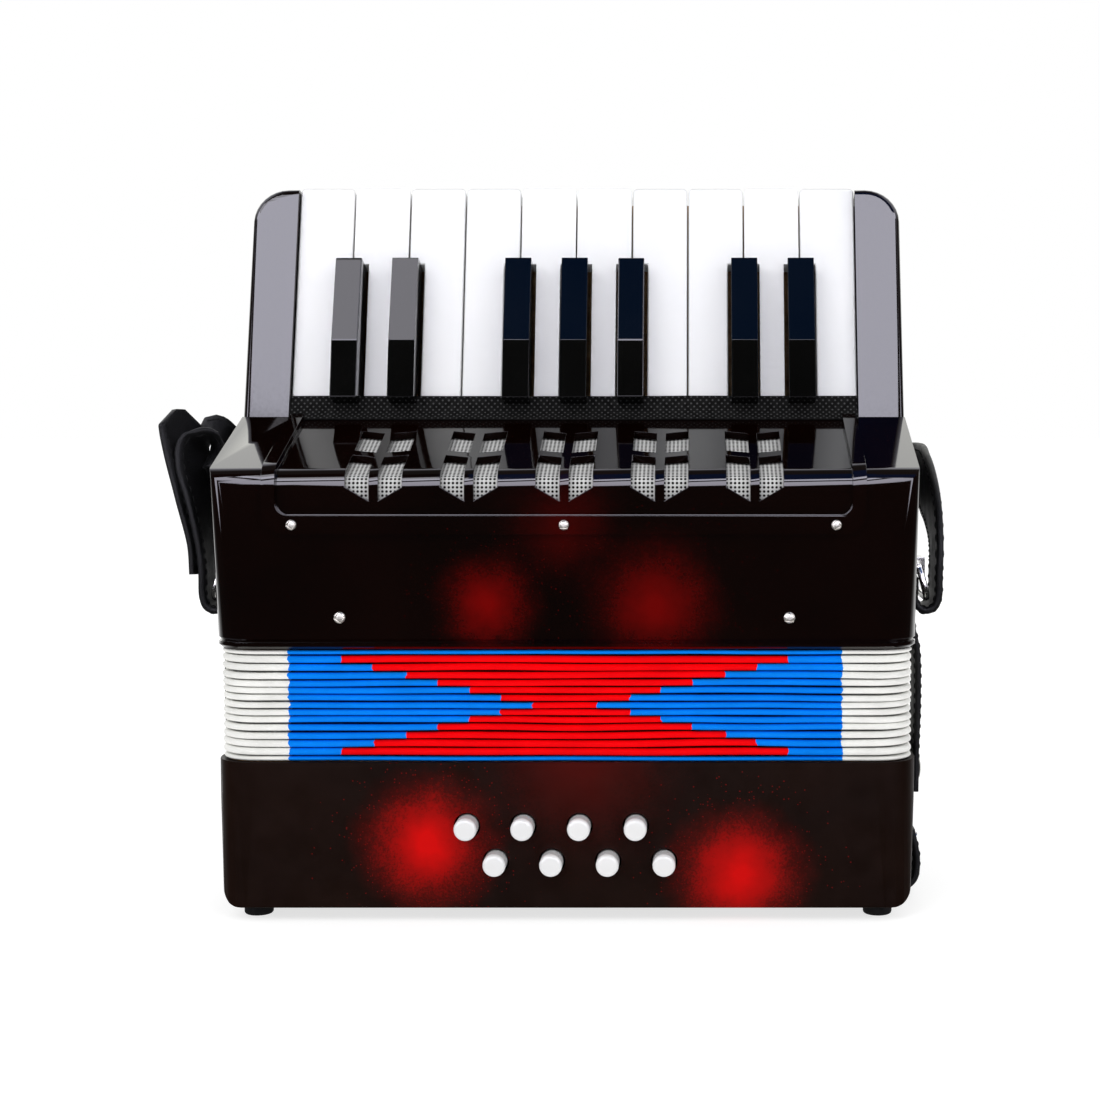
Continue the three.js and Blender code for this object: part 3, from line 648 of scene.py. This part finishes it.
def geometry_group(name):
    group = bpy.data.node_groups.new(name, "GeometryNodeTree")
    for way in ("INPUT", "OUTPUT"):
        group.interface.new_socket("Geometry", in_out=way, socket_type="NodeSocketGeometry")
    return group, group.nodes.new, group.links.new


def merging_group():
    """Geometry nodes that merge a CAD mesh's split vertices."""
    group, new, link = geometry_group("merge")
    source, target = new("NodeGroupInput"), new("NodeGroupOutput")
    merge = new("GeometryNodeMergeByDistance")
    merge.inputs["Distance"].default_value = 0.004 * MM
    link(source.outputs[0], merge.inputs["Geometry"])
    link(merge.outputs[0], target.inputs[0])
    return group


def smoothing_group(angle):
    """Geometry nodes that shade smooth across edges that bend less than angle."""
    group, new, link = geometry_group("smooth")
    source, target = new("NodeGroupInput"), new("NodeGroupOutput")
    faces, edges = new("GeometryNodeSetShadeSmooth"), new("GeometryNodeSetShadeSmooth")
    edges.domain = "EDGE"
    bend, compare = new("GeometryNodeInputMeshEdgeAngle"), new("FunctionNodeCompare")
    compare.operation = "LESS_THAN"
    compare.inputs[1].default_value = angle
    link(source.outputs[0], faces.inputs["Geometry"])
    link(bend.outputs[0], compare.inputs[0])
    link(faces.outputs[0], edges.inputs["Geometry"])
    link(compare.outputs[0], edges.inputs["Shade Smooth"])
    link(edges.outputs[0], target.inputs[0])
    return group


MERGE = merging_group()
SMOOTH = smoothing_group(math.radians(40))


def modify(obj, name, kind, **settings):
    modifier = obj.modifiers.new(name, kind)
    for key, value in settings.items():
        setattr(modifier, key, value)


def dress(name, material, bevel=0.0, segments=2, crease=40, dissolve=True):
    """Gives a CAD node its material, small rounded edges and smooth shading."""
    obj = NODES[name]
    obj.data.materials.clear()
    obj.data.materials.append(MATERIALS[material])
    modify(obj, "merge", "NODES", node_group=MERGE)
    if dissolve:
        limit = math.radians(0.6)
        modify(obj, "flat", "DECIMATE", decimate_type="DISSOLVE", angle_limit=limit)
    if bevel:
        modify(
            obj, "round", "BEVEL", width=bevel, segments=segments, limit_method="ANGLE",
            angle_limit=math.radians(crease), harden_normals=False, use_clamp_overlap=True,
        )
    modify(obj, "smooth", "NODES", node_group=SMOOTH)
    modify(obj, "weigh", "WEIGHTED_NORMAL", mode="FACE_AREA", keep_sharp=True)


def dress_frame():
    dress("bass_casing", "satin_casing", 0.35 * MM)
    dress("treble_casing", "gloss_casing", 0.45 * MM, dissolve=False)
    dress("treble_back_cover", "satin_casing", 0.5 * MM)
    dress("grille_cover", "gloss_casing", 0.3 * MM, dissolve=False)
    for i in range(1, 11):
        dress(f"white_key_{i:02d}", "white_plastic", 0.55 * MM, 3)
    for i in range(1, 8):
        dress(f"black_key_{i}", "black_plastic", 0.4 * MM, 3, crease=3)
    dress("keyboard_bed", "wood", 0.3 * MM)
    for end in ("bass", "treble"):
        dress(f"{end}_soundboard", "wood", 0.3 * MM)
        dress(f"{end}_bellows_frame", "wood", 0.3 * MM)
        dress(f"{end}_reed_block", "reed_metal", 0.2 * MM)
    dress("key_axle", "chrome")
    for _, side in SIDES:
        dress(f"strap_bracket_{side}", "chrome", 0.3 * MM, 3)


# Buttons, feet and screws


def push_cap(node, origin, axis, radius, length, rim, dish, material):
    """A button's cap with a rounded rim; dish holds the points of its face."""
    profile = [(0, length), (radius, length), (radius, rim)]
    profile += [(radius - rim + x, rim - y) for x, y in arc(0, 0, rim, 0, 90, 8)]
    made = lathe([*profile, *dish], origin, axis)
    place(new_mesh(node + "_cap", *made, material, sharp=50), node, material, node)


def buttons():
    for i in range(1, 9):
        low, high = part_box(f"bass_button_{i}")
        centre, radius = (low + high) / 2, 3.65 * MM
        dish = [(radius * 0.4, -0.12 * MM), (0, -0.18 * MM)]
        origin = (centre.x, low.y, centre.z)
        node, length, rim = f"bass_button_{i}", 17.2 * MM, 1.3 * MM
        push_cap(node, origin, (0, 1, 0), radius, length, rim, dish, "white_plastic")
    low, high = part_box("air_button")
    centre = (low + high) / 2
    dish = [(2.8 * MM, 0), (2.2 * MM, 0.35 * MM), (0, 0.45 * MM)]
    origin = (centre.x, centre.y, low.z)
    radius, length, rim = 4.6 * MM, 11 * MM, 1.2 * MM
    push_cap("air_button", origin, (0, 0, 1), radius, length, rim, dish, "black_plastic")


def feet():
    """Rubber feet with a small hollow in the middle of their soles."""
    hollow = [(0, 0.9 * MM), (1.6 * MM, 0.9 * MM), (1.9 * MM, 0.1 * MM), (2.3 * MM, 0)]
    for name in (f"foot_{end}_{side}" for end in ("front", "rear") for side in ("left", "right")):
        low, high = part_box(name)
        centre = (low + high) / 2
        radius, top = (high.x - low.x) / 2, high.z - low.z + 0.28 * MM
        profile = [*hollow, (radius - 1.6 * MM, 0)]
        profile += [(radius - 1 * MM + x, 1 * MM + y) for x, y in arc(0, 0, 1 * MM, -90, 0, 6)]
        profile += [(radius, top - 0.8 * MM), (radius - 0.3 * MM, top), (0, top)]
        made = lathe(profile, (centre.x, centre.y, low.z), (0, 0, 1))
        place(new_mesh(name + "_rubber", *made, "rubber", sharp=50), BASS, "rubber", name)


RECESS_REACH = 0.72  # as shares of the head's radius
RECESS_SLOT = 0.13
RECESS_SOFT = 0.08
RECESS_DEPTH = 0.55  # as a share of the head's height


def screw_head(seat, axis, radius, height, turn=0.5):
    """A pan-head screw: a dome with a square recess pressed into it."""
    seat, rows = Vector(seat), 18
    axis, angles, outs = spokes(axis, 64)
    rings = []
    for i in range(rows + 1):
        share = i / rows
        r = max(radius * share, 1e-6)
        dome = height * math.sqrt(max(1 - (share * 0.93) ** 3.2, 0))
        ring = []
        for angle, out in zip(angles, outs):
            u = abs(r * math.cos(angle + turn) / radius)
            v = abs(r * math.sin(angle + turn) / radius)
            far, near = max(u, v), min(u, v)
            arm = min(far - RECESS_REACH, near - RECESS_SLOT)
            cut = min(max(-arm / RECESS_SOFT, 0), 1) if far < RECESS_REACH else 0
            top = dome - cut * height * RECESS_DEPTH
            ring.append(tuple(seat + out * r + axis * top))
        rings.append(ring)
    rings.append([tuple(seat + out * radius - axis * 0.5 * MM) for out in outs])
    return loft(rings)


# The back cover stands upright up to its bend, and leans forwards above it.
COVER_BEND_Z, COVER_LEAN, COVER_OUT = 152, 0.096, 1.75
COVER_SCREWS = [(x, z) for z in (112, 140, 222) for x in (-88, 88)]


def screws():
    height = 1.1 * MM
    names = [f"grille_screw_{i}" for i in (1, 2, 3)] + [f"casing_screw_{i}" for i in (1, 2)]
    for name in names:
        low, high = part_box(name)
        radius = (high.x - low.x) / 2
        seat = (low.x + radius, low.y + height + 0.25 * MM, low.z + radius)
        made = screw_head(seat, (0, -1, 0), radius, height, 0.4 + int(name[-1]))
        place(new_mesh(name + "_head", *made, "nickel", sharp=35), TREBLE, "chrome", name)
    for i, (x, z) in enumerate(COVER_SCREWS):
        above = max(z - COVER_BEND_Z, 0)
        seat = shifted(x, 55 + COVER_OUT - COVER_LEAN * above, z)
        axis = (0, 1, COVER_LEAN if above else 0)
        made = screw_head(seat, axis, 2.2 * MM, height, 0.7 * i)
        head = new_mesh(f"back_cover_screw_{i + 1}", *made, "nickel", sharp=35)
        place(head, TREBLE, "chrome")


# Bellows

FOLDS = 15
BELLOWS_LOW, BELLOWS_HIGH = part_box("bellows")
RED_STEP = 10.2 * MM
FOLD_DEPTH = 9 * MM
WALL_RISE = 0.24 * MM  # half of the gap between two rows of tape
WALL_REACH = 0.55 * MM  # how far a wall's edges reach into the tapes
WALL_THICK = 0.035 * MM
TAPE_INNER, TAPE_SHOULDER, TAPE_NOSE = -2.4 * MM, -1.0 * MM, 1.35 * MM
WALL_EDGE = -1.3 * MM
TAPE_SEED, ROW_SEED = 100, 200
LIFT = 0.38 * MM  # how far the rows wander up and down


def perimeter(inset, corner, step=2.6 * MM):
    """Points around the bellows in plan, with their outward directions."""
    x, y = HALF_X - inset, HALF_Y - inset
    points, outs = [], []
    for sx, sy, start in ((1, -1, -90), (1, 1, 0), (-1, 1, 90), (-1, -1, 180)):
        cx, cy = MID_X + sx * (x - corner), MID_Y + sy * (y - corner)
        for k in range(9):
            angle = math.radians(start + 90 * k / 8)
            out = (math.cos(angle), math.sin(angle))
            points.append((cx + corner * out[0], cy + corner * out[1]))
            outs.append(out)
        # The straight side that follows this corner.
        from_x, from_y = points[-1]
        length = 2 * ((y if start in (-90, 90) else x) - corner)
        count = int(length / step)
        for k in range(1, count):
            along = length * k / count
            points.append((from_x - out[1] * along, from_y + out[0] * along))
            outs.append(out)
    return np.array(points), np.array(outs)


MIDDLE_ROW = FOLDS // 2


def row_levels():
    """Heights between the rows of tape, from the top down; the first and last row are short."""
    inner = range(1, FOLDS - 1)
    weights = [0.78, *(1 + 0.17 * (abs(k - MIDDLE_ROW) / 6) ** 2 for k in inner), 0.78]
    high, low = BELLOWS_HIGH.z + 0.2 * MM, BELLOWS_LOW.z - 0.2 * MM
    shares = np.concatenate([[0], np.cumsum(weights)]) / sum(weights)
    return high - shares * (high - low)


def open_between(obj, low, high):
    """Bakes obj's placement into its mesh and hides the CAD bellows; low and high are not used."""
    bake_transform(obj)
    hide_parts("bellows")


def wobble(angle_count, seed, size, waves=7):
    """A smooth closed wave around the perimeter, the same each run."""
    rng = np.random.default_rng(seed)
    t = np.linspace(0, 2 * np.pi, angle_count, endpoint=False)
    wave = sum(
        rng.normal() / (k**0.6) * np.cos(k * t + rng.uniform(0, 2 * np.pi)) for k in range(1, waves)
    )
    return size * wave / waves**0.5


def ring_mesh(name, profile, points, outs, lift, push, material, red_half):
    """A closed ring around the bellows from a profile of (outward, z) points."""
    sections = []
    for outward, z in profile:
        xy = points + outs * (outward + push)[:, None]
        sections.append(np.column_stack([xy, z + lift]))
    vertices, faces = loft(np.stack(sections, axis=1), close_rows=True)
    obj = new_mesh(name, vertices, faces, material, sharp=60)
    red = obj.data.attributes.new("red_half", "FLOAT", "POINT")
    red.data.foreach_set("value", np.full(len(obj.data.vertices), red_half, np.float32))
    return obj


def red_half_of(row):
    """Half of the width of a row's red stretch; the first and last rows have none."""
    return RED_STEP * (1 + abs(row - MIDDLE_ROW)) if 0 < row < FOLDS - 1 else -1.0


def tape_profile(z, half):
    """A rounded row of tape, open towards the inside, half of it above z."""
    profile = [(TAPE_INNER, z - half * 0.9)]
    for angle in (math.radians(-90 + 180 * j / 10) for j in range(11)):
        out = TAPE_SHOULDER + TAPE_NOSE * max(math.cos(angle), 0) ** 0.8
        profile.append((out, z + half * math.sin(angle)))
    return [*profile, (TAPE_INNER, z + half * 0.9)]


def wall_profile(z, up, down, first, last):
    """Two thin flaps that meet in the valley; the first and last walls have one each."""
    valley = -FOLD_DEPTH
    lower = [(WALL_EDGE, down), (WALL_EDGE, down - WALL_THICK)]
    upper = [(WALL_EDGE, up), (WALL_EDGE, up + WALL_THICK)]
    if first:
        return [(valley, z), *lower, (valley, z - WALL_THICK)]
    if last:
        return [(valley, z), *upper, (valley, z + WALL_THICK)]
    return [upper[0], (valley, z), *lower, (valley - 0.5 * MM, z), upper[1]]


def bellows():
    """Rows of tape, and between them the walls; both are counted from the top down."""
    points, outs = perimeter(1.5 * MM, 12.5 * MM)
    count = len(points)
    levels = row_levels()
    pushes = [wobble(count, TAPE_SEED + k, 0.16 * MM) for k in range(FOLDS)]
    lifts = [LIFT * np.tanh(wobble(count, ROW_SEED + k, 2.0, 14)) for k in range(FOLDS + 1)]
    lifts[0] = lifts[-1] = level = np.zeros(count)
    for k in range(FOLDS):
        z = (levels[k] + levels[k + 1]) / 2
        profile = tape_profile(z, (levels[k] - levels[k + 1]) / 2 - WALL_RISE)
        lift = (lifts[k] + lifts[k + 1]) / 2
        ring = ring_mesh(
            f"bellows_tape_{k + 1:02d}", profile, points, outs, lift, pushes[k],
            "bellows_tape", red_half_of(k),
        )
        open_between(ring, z, z)
    for k, z in enumerate(levels):
        rise = WALL_RISE + WALL_REACH
        up = z + rise if k > 0 else z
        down = z - rise if k < FOLDS else z
        profile = wall_profile(z, up, down, k == 0, k == FOLDS)
        push = (pushes[max(k - 1, 0)] + pushes[min(k, FOLDS - 1)]) / 2
        # The walls take the tape's colours darkened: painted shade in the valleys.
        ring = ring_mesh(
            f"bellows_wall_{k + 1:02d}", profile, points, outs, level, push,
            "bellows_walls_painted_shade", red_half_of(min(k, FOLDS - 1)),
        )
        open_between(ring, down, up)


# Cloths


def wrapped_line(offset, low, end_y, steps=10):
    """(y, z) points up the front, round the edge and along the ledge, offset outwards."""
    slope = math.atan(LEDGE_SLOPE)
    radius = EDGE_ROUND + offset
    corner_y = FRONT - offset
    corner_z = LEDGE_CORNER_Z - offset * LEDGE_SLOPE + offset / math.cos(slope)
    turn = math.pi / 2 - slope
    reach = radius * math.tan(turn / 2)
    centre_y, centre_z = corner_y + radius, corner_z - reach
    line = [(corner_y, low + (centre_z - low) * k / steps) for k in range(steps)]
    for angle in (math.pi - turn * k / steps for k in range(steps + 1)):
        line.append((centre_y + radius * math.cos(angle), centre_z + radius * math.sin(angle)))
    last_y, last_z = line[-1]
    for share in (k / (2 * steps) for k in range(1, 2 * steps + 1)):
        run = (end_y - last_y) * share
        line.append((last_y + run, last_z + run * LEDGE_SLOPE))
    return line


def cloth_strip(name, line, x0, x1, thick, columns, material, bulge=None):
    """A thin closed sheet along X, following (y, z) points; "flat" holds its own coordinates."""
    line = np.array(line)
    tangent = unit(np.gradient(line, axis=0))
    normal = np.column_stack([-tangent[:, 1], tangent[:, 0]])
    run = np.concatenate([[0], np.cumsum(np.linalg.norm(np.diff(line, axis=0), axis=1))])
    xs = np.linspace(x0, x1, columns)
    layers, flats = [], []
    for side in (0.5, -0.5):
        for i, (y, z) in enumerate(line):
            for x in xs:
                shift = side * thick + (bulge(x, i / (len(line) - 1)) if bulge else 0.0)
                layers.append((x, y + normal[i][0] * shift, z + normal[i][1] * shift))
                flats.append((x, run[i], 0))
    rows, half = len(line), len(line) * columns
    top = grid_faces(rows, columns)
    bottom = [tuple(half + i for i in face[::-1]) for face in top]
    border = list(range(columns))
    border += [i * columns + columns - 1 for i in range(1, rows)]
    border += [(rows - 1) * columns + j for j in range(columns - 2, -1, -1)]
    border += [i * columns for i in range(rows - 2, 0, -1)]
    rim = [(a, half + a, half + b, b) for a, b in zip(border, border[1:] + border[:1])]
    obj = new_mesh(name, layers, top + bottom + rim, material)
    flat = obj.data.attributes.new("flat", "FLOAT_VECTOR", "POINT")
    flat.data.foreach_set("vector", np.array(flats, np.float32).ravel())
    return obj, run[-1]


def grille_cloth():
    low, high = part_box("grille_cloth")
    line = wrapped_line(-3.1 * MM, low.z, high.y)
    cloth, length = cloth_strip("grille_weave", line, low.x, high.x, 0.4 * MM, 90, "white_mesh")
    place(cloth, TREBLE, "white_mesh", "grille_cloth")


def in_keyboard(depth, up):
    """(y, z) of a point given by its depth into the keyboard's plane and its height up it."""
    return (
        CREASE.y + depth * math.cos(LEAN) + up * math.sin(LEAN),
        CREASE.z - depth * math.sin(LEAN) + up * math.cos(LEAN),
    )


DUST_SEED = 5


def dust_cloth():
    """Mesh from the casing up onto the keys' roots, a little wavy along its upper edge."""
    low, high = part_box("dust_cloth")
    casing_y, casing_z = in_keyboard(-0.2 * MM, -3.0 * MM)
    key_points = [
        (casing_y - 1.5 * MM, casing_z + 2.0 * MM),
        in_keyboard(-0.4 * MM, 0.4 * MM),
        in_keyboard(0.9 * MM, 2.6 * MM),
        in_keyboard(1.3 * MM, 7.8 * MM),
    ]
    line = catmull([(0, y, z) for y, z in key_points], 18)[:, 1:]
    phases = np.random.default_rng(DUST_SEED).uniform(0, 2 * np.pi, 6)

    def bulge(x, along):
        t = (x - MID_X) / HALF_X
        wave = sum(math.sin((3 + 4.7 * i) * t + phase) / (1 + i) for i, phase in enumerate(phases))
        return wave * 0.22 * MM * (0.3 + 0.7 * along)

    cloth, length = cloth_strip(
        "dust_mesh", line, low.x, high.x, 0.5 * MM, 160, "black_mesh", bulge
    )
    place(cloth, TREBLE, "black_mesh", "dust_cloth")


# Straps and rings


def shifted(x, y, z):
    """A point given in millimetres about the middle of the boxes."""
    return (MID_X + x * MM, MID_Y + y * MM, z * MM)


def band(knots, width, thick, steps, crown=0.25, narrow=lambda share: 1.0):
    """A soft-edged strap along (point, direction across) knots: its sections and frames."""
    places = catmull([shifted(*k[0]) for k in knots], steps)
    across = catmull([k[1] for k in knots], steps)
    along = unit(np.gradient(places, axis=0))
    out = unit(np.cross(across, along))
    wide = unit(np.cross(out, along))
    w, t = width / 2, thick / 2
    half = [(w - t * 0.6, -t), (w - t * 0.15, -t * 0.6), (w, 0)]
    half += [(w - t * 0.15, t * 0.6), (w - t * 0.6, t)]
    half += [(w * s, t * (1 + crown * (1 - s * s) * 0.4)) for s in (0.72, 0.36, 0.0, -0.36, -0.72)]
    section = [(side * a, side * b) for side in (1, -1) for a, b in half]
    rings = [
        [places[i] + wide[i] * a * narrow(i / steps) + out[i] * b for a, b in section]
        for i in range(len(places))
    ]
    return rings, (places, along, out, wide)


def stitches(frames, inset, width, thick):
    """Rows of thread along both edges of a strap, each stitch a low arched tube."""
    pitch, length, radius, margin = 3.4 * MM, 2.3 * MM, 0.28 * MM, 3 * MM
    places, _, out, wide = frames
    run = np.concatenate([[0], np.cumsum(np.linalg.norm(np.diff(places, axis=0), axis=1))])
    turns = [2 * math.pi * m / 6 for m in range(6)]

    def at(distance, values):
        return np.array([np.interp(distance, run, values[:, c]) for c in range(3)])

    def stitch(start, edge, face):
        rings = []
        for j in range(5):
            distance = start + length * j / 4
            p, o, w = (at(distance, values) for values in (places, out, wide))
            rise = (thick / 2) + radius * (0.75 - 1.5 * abs(j / 2 - 1) ** 2)
            centre = p + w * edge * (width / 2 - inset) + o * face * rise
            w, o = w * radius, o * radius
            rings.append([centre + w * math.cos(a) + o * math.sin(a) for a in turns])
        return loft(rings)

    starts = [margin + k * pitch for k in range(int((run[-1] - 2 * margin) / pitch))]
    return join_parts(
        [stitch(start, edge, face) for start in starts for edge in (-1, 1) for face in (1, -1)]
    )


def strap(name, body, knots, size, steps, inset, replaced=(), ending="_band", seam=None, **shape):
    """A strap and its stitches; seam is the share of its length that they run along."""
    rings, frames = band(knots, *size, steps, **shape)
    skin = new_mesh(name + ending, *loft(rings), "leatherette", sharp=70)
    place(skin, body, "leatherette", *replaced)
    if seam:
        frames = tuple(part[: int(steps * seam)] for part in frames)
    seams = new_mesh(name + "_seams", *stitches(frames, inset, *size), "thread")
    place(seams, body, "leatherette")


SHOULDER_LOOP = [
    (114.9, 108.5), (114.7, 101.8), (116, 98.6), (118.6, 97.4),
    (121.4, 98.6), (122.7, 101.8), (122.9, 108.5),
]
STRAP_Y = -13


def shoulder_strap():
    def loop(s):
        return [((s * x, STRAP_Y, z), (0, -s, 0)) for x, z in SHOULDER_LOOP]

    knots = [
        *loop(-1),
        ((-122.9, -12.5, 119), (0.1, 1, 0)),
        ((-125.0, -11, 134), (0.25, 1, 0)),
        ((-127.4, -9, 144.5), (0.35, 1, 0.05)),
        ((-127.2, -7, 151.0), (0.4, 1, 0.1)),
        ((-123.6, -5, 154.0), (0.5, 1, 0.15)),
        ((-120.6, -1, 149.5), (0.4, 1, 0.2)),
        ((-120.6, 7, 145), (0.15, 0.9, 0.5)),
        ((-121.6, 22, 144), (0, 0.3, 1)),
        ((-122, 42, 146), (0, 0, 1)),
        ((-108, 67, 141), (0, 0, 1)),
        ((-60, 78, 130), (0, 0, 1)),
        ((0, 82, 126), (0, 0, 1)),
        ((60, 78, 130), (0, 0, 1)),
        ((106, 68, 138), (0, 0, 1)),
        ((122, 48, 141), (0, -0.1, 1)),
        ((123, 18, 138), (0, -0.4, 1)),
        ((123.4, -5, 127), (0, -0.9, 0.6)),
        ((123.2, -12, 117), (0, -1, 0.1)),
        *loop(1)[::-1],
    ]
    size = (24 * MM, 2.2 * MM)
    strap("shoulder_strap", TREBLE, knots, size, 320, 2.6 * MM, ["shoulder_strap"])
    strap_tail()


def strap_tail():
    """The strap's free end, cut to a point, standing outside the part that it is stitched to."""
    knots = [
        ((-125.2, -13.5, 109), (0.1, 1, 0)),
        ((-125.4, -13, 119), (0.15, 1, 0)),
        ((-128.0, -12, 134), (0.3, 1, 0)),
        ((-131.4, -10, 149), (0.4, 1, 0)),
        ((-133.0, -9, 157), (0.42, 1, 0)),
        ((-133.8, -8.5, 164.5), (0.42, 1, 0)),
    ]
    point = 0.86  # where along the tail its end starts to narrow

    def narrow(share):
        return 1.0 if share < point else 1 - 0.78 * (share - point) / (1 - point)

    strap(
        "shoulder_strap_tail", TREBLE, knots, (22 * MM, 1.9 * MM), 60, 2.4 * MM,
        ending="", seam=point, narrow=narrow,
    )


def hand_strap():
    half = [(114.6, 23), (116.4, 13), (115.4, 6), (110.5, 2.6), (102, 2.1)]
    line = [(-x, z) for x, z in half] + [(0, 2.1)] + half[::-1]
    knots = [((x, 0, z), (0, 1, 0)) for x, z in line]
    strap(
        "hand_strap", BASS, knots, (44 * MM, 2 * MM), 160, 2.8 * MM, ["hand_strap"], crown=0.0
    )
    for s, side_name in SIDES:
        for y, end in ((-13, "front"), (13, "rear")):
            seat = shifted(s * 116.2, y, 18.6)
            made = screw_head(seat, (s, 0, -0.18 * s), 2.4 * MM, 1.0 * MM)
            name = f"hand_strap_screw_{side_name}_{end}"
            place(new_mesh(name, *made, "chrome", sharp=35), BASS, "chrome")


STRAP_LINE = [(1.3, 96), (1.5, 91.5), (3, 84), (3.4, 66), (2.9, 50), (2.9, 44), (2.8, 36)]
CASING_HALF = 113
CAP = [(0, 1.5), (2, 1.45), (3.6, 1.1), (4.6, 0.4), (4.7, 0), (0, -0.2)]
STUD = [(0, 0), (4.2, 0), (4.2, 0.5), (3.6, 0.9), (2.6, 1.0), (2.4, 1.35), (0, 1.38)]
STUD_Z = 43


def fitting(profile, scale, s, out, z):
    """A round metal piece on the side s, standing out by so much at height z."""
    sized = [(r * scale * MM, h * scale * MM) for r, h in profile]
    return lathe(sized, shifted(s * (CASING_HALF + out), STRAP_Y, z), (s, 0, 0))


def bellows_straps():
    for s, side in SIDES:
        name = f"bellows_strap_{side}"
        lean_in = 1.0 if s > 0 else 0.72  # the left strap hugs the bellows more closely
        knots = [
            ((s * (CASING_HALF + lean_in * out), STRAP_Y, z), (0, s, 0)) for out, z in STRAP_LINE
        ]
        strap(name, TREBLE, knots, (18 * MM, 1.8 * MM), 60, 2.2 * MM, [name])
        for kind, out, z, scale in (("snap", 3.75, STUD_Z, 1.0), ("rivet", 2.2, 92, 0.62)):
            made = fitting(CAP[::-1], scale, s, out, z)
            place(new_mesh(f"{name}_{kind}", *made, "chrome", sharp=60), TREBLE, "chrome")


def snap_studs():
    for s, side in SIDES:
        name = f"snap_stud_{side}"
        stud = new_mesh(name + "_metal", *fitting(STUD, 1.0, s, 0.1, STUD_Z), "chrome", sharp=50)
        place(stud, BASS, "chrome", name)


def ring_outline(reach, half, corner=4, inner=1.2, touch=6):
    """A D seen flat, as (out, y) points; its straight side hangs in the bracket."""
    outline = [(0, -half), (reach - corner, -half)]
    outline += arc(reach - corner, corner - half, corner, -90, 0, 6)[1:]
    outline += arc(reach - corner, half - corner, corner, 0, 90, 6)
    outline += [(0, half), *arc(inner, half - inner, inner, 90, 180, 3)[1:]]
    outline += [(0, touch), (0, 0), (0, -touch)]
    return outline + arc(inner, inner - half, inner, 180, 270, 3)[:-1]


def rings():
    """D-shaped wire rings, each hanging from its bracket."""
    hang = math.atan2(10.2, 2.7)
    wire = 1.15 * MM
    for s, side in SIDES:
        pivot = np.array(shifted(s * 115.9, STRAP_Y, 112))
        line = np.array([
            pivot + np.array((s * out * math.cos(hang), y, -out * math.sin(hang))) * MM
            for out, y in ring_outline(10.6, 13.6)
        ])
        # Points that fall together at the corners are left out.
        line = line[np.linalg.norm(line - np.roll(line, 1, 0), axis=1) > 0.1 * MM]
        tangent = unit(np.roll(line, -1, 0) - np.roll(line, 1, 0))
        flat_normal = unit(np.array([s * math.sin(hang), 0, math.cos(hang)]))
        inward = unit(np.cross(tangent, flat_normal))
        turns = np.linspace(0, 2 * math.pi, 14, endpoint=False)
        sections = [
            [p + (n_in * math.cos(a) + flat_normal * math.sin(a)) * wire for a in turns]
            for p, n_in in zip(line, inward)
        ]
        name = f"strap_ring_{side}"
        made = new_mesh(name + "_wire", *loft(sections, close_rows=True), "chrome")
        place(made, name, "chrome", name)


def build():
    for step in (
        add_camera, add_world, add_lights, add_floor, make_materials, dress_frame, buttons,
        feet, screws, bellows, grille_cloth, dust_cloth, shoulder_strap, hand_strap,
        bellows_straps, snap_studs, rings,
    ):
        step()


build()
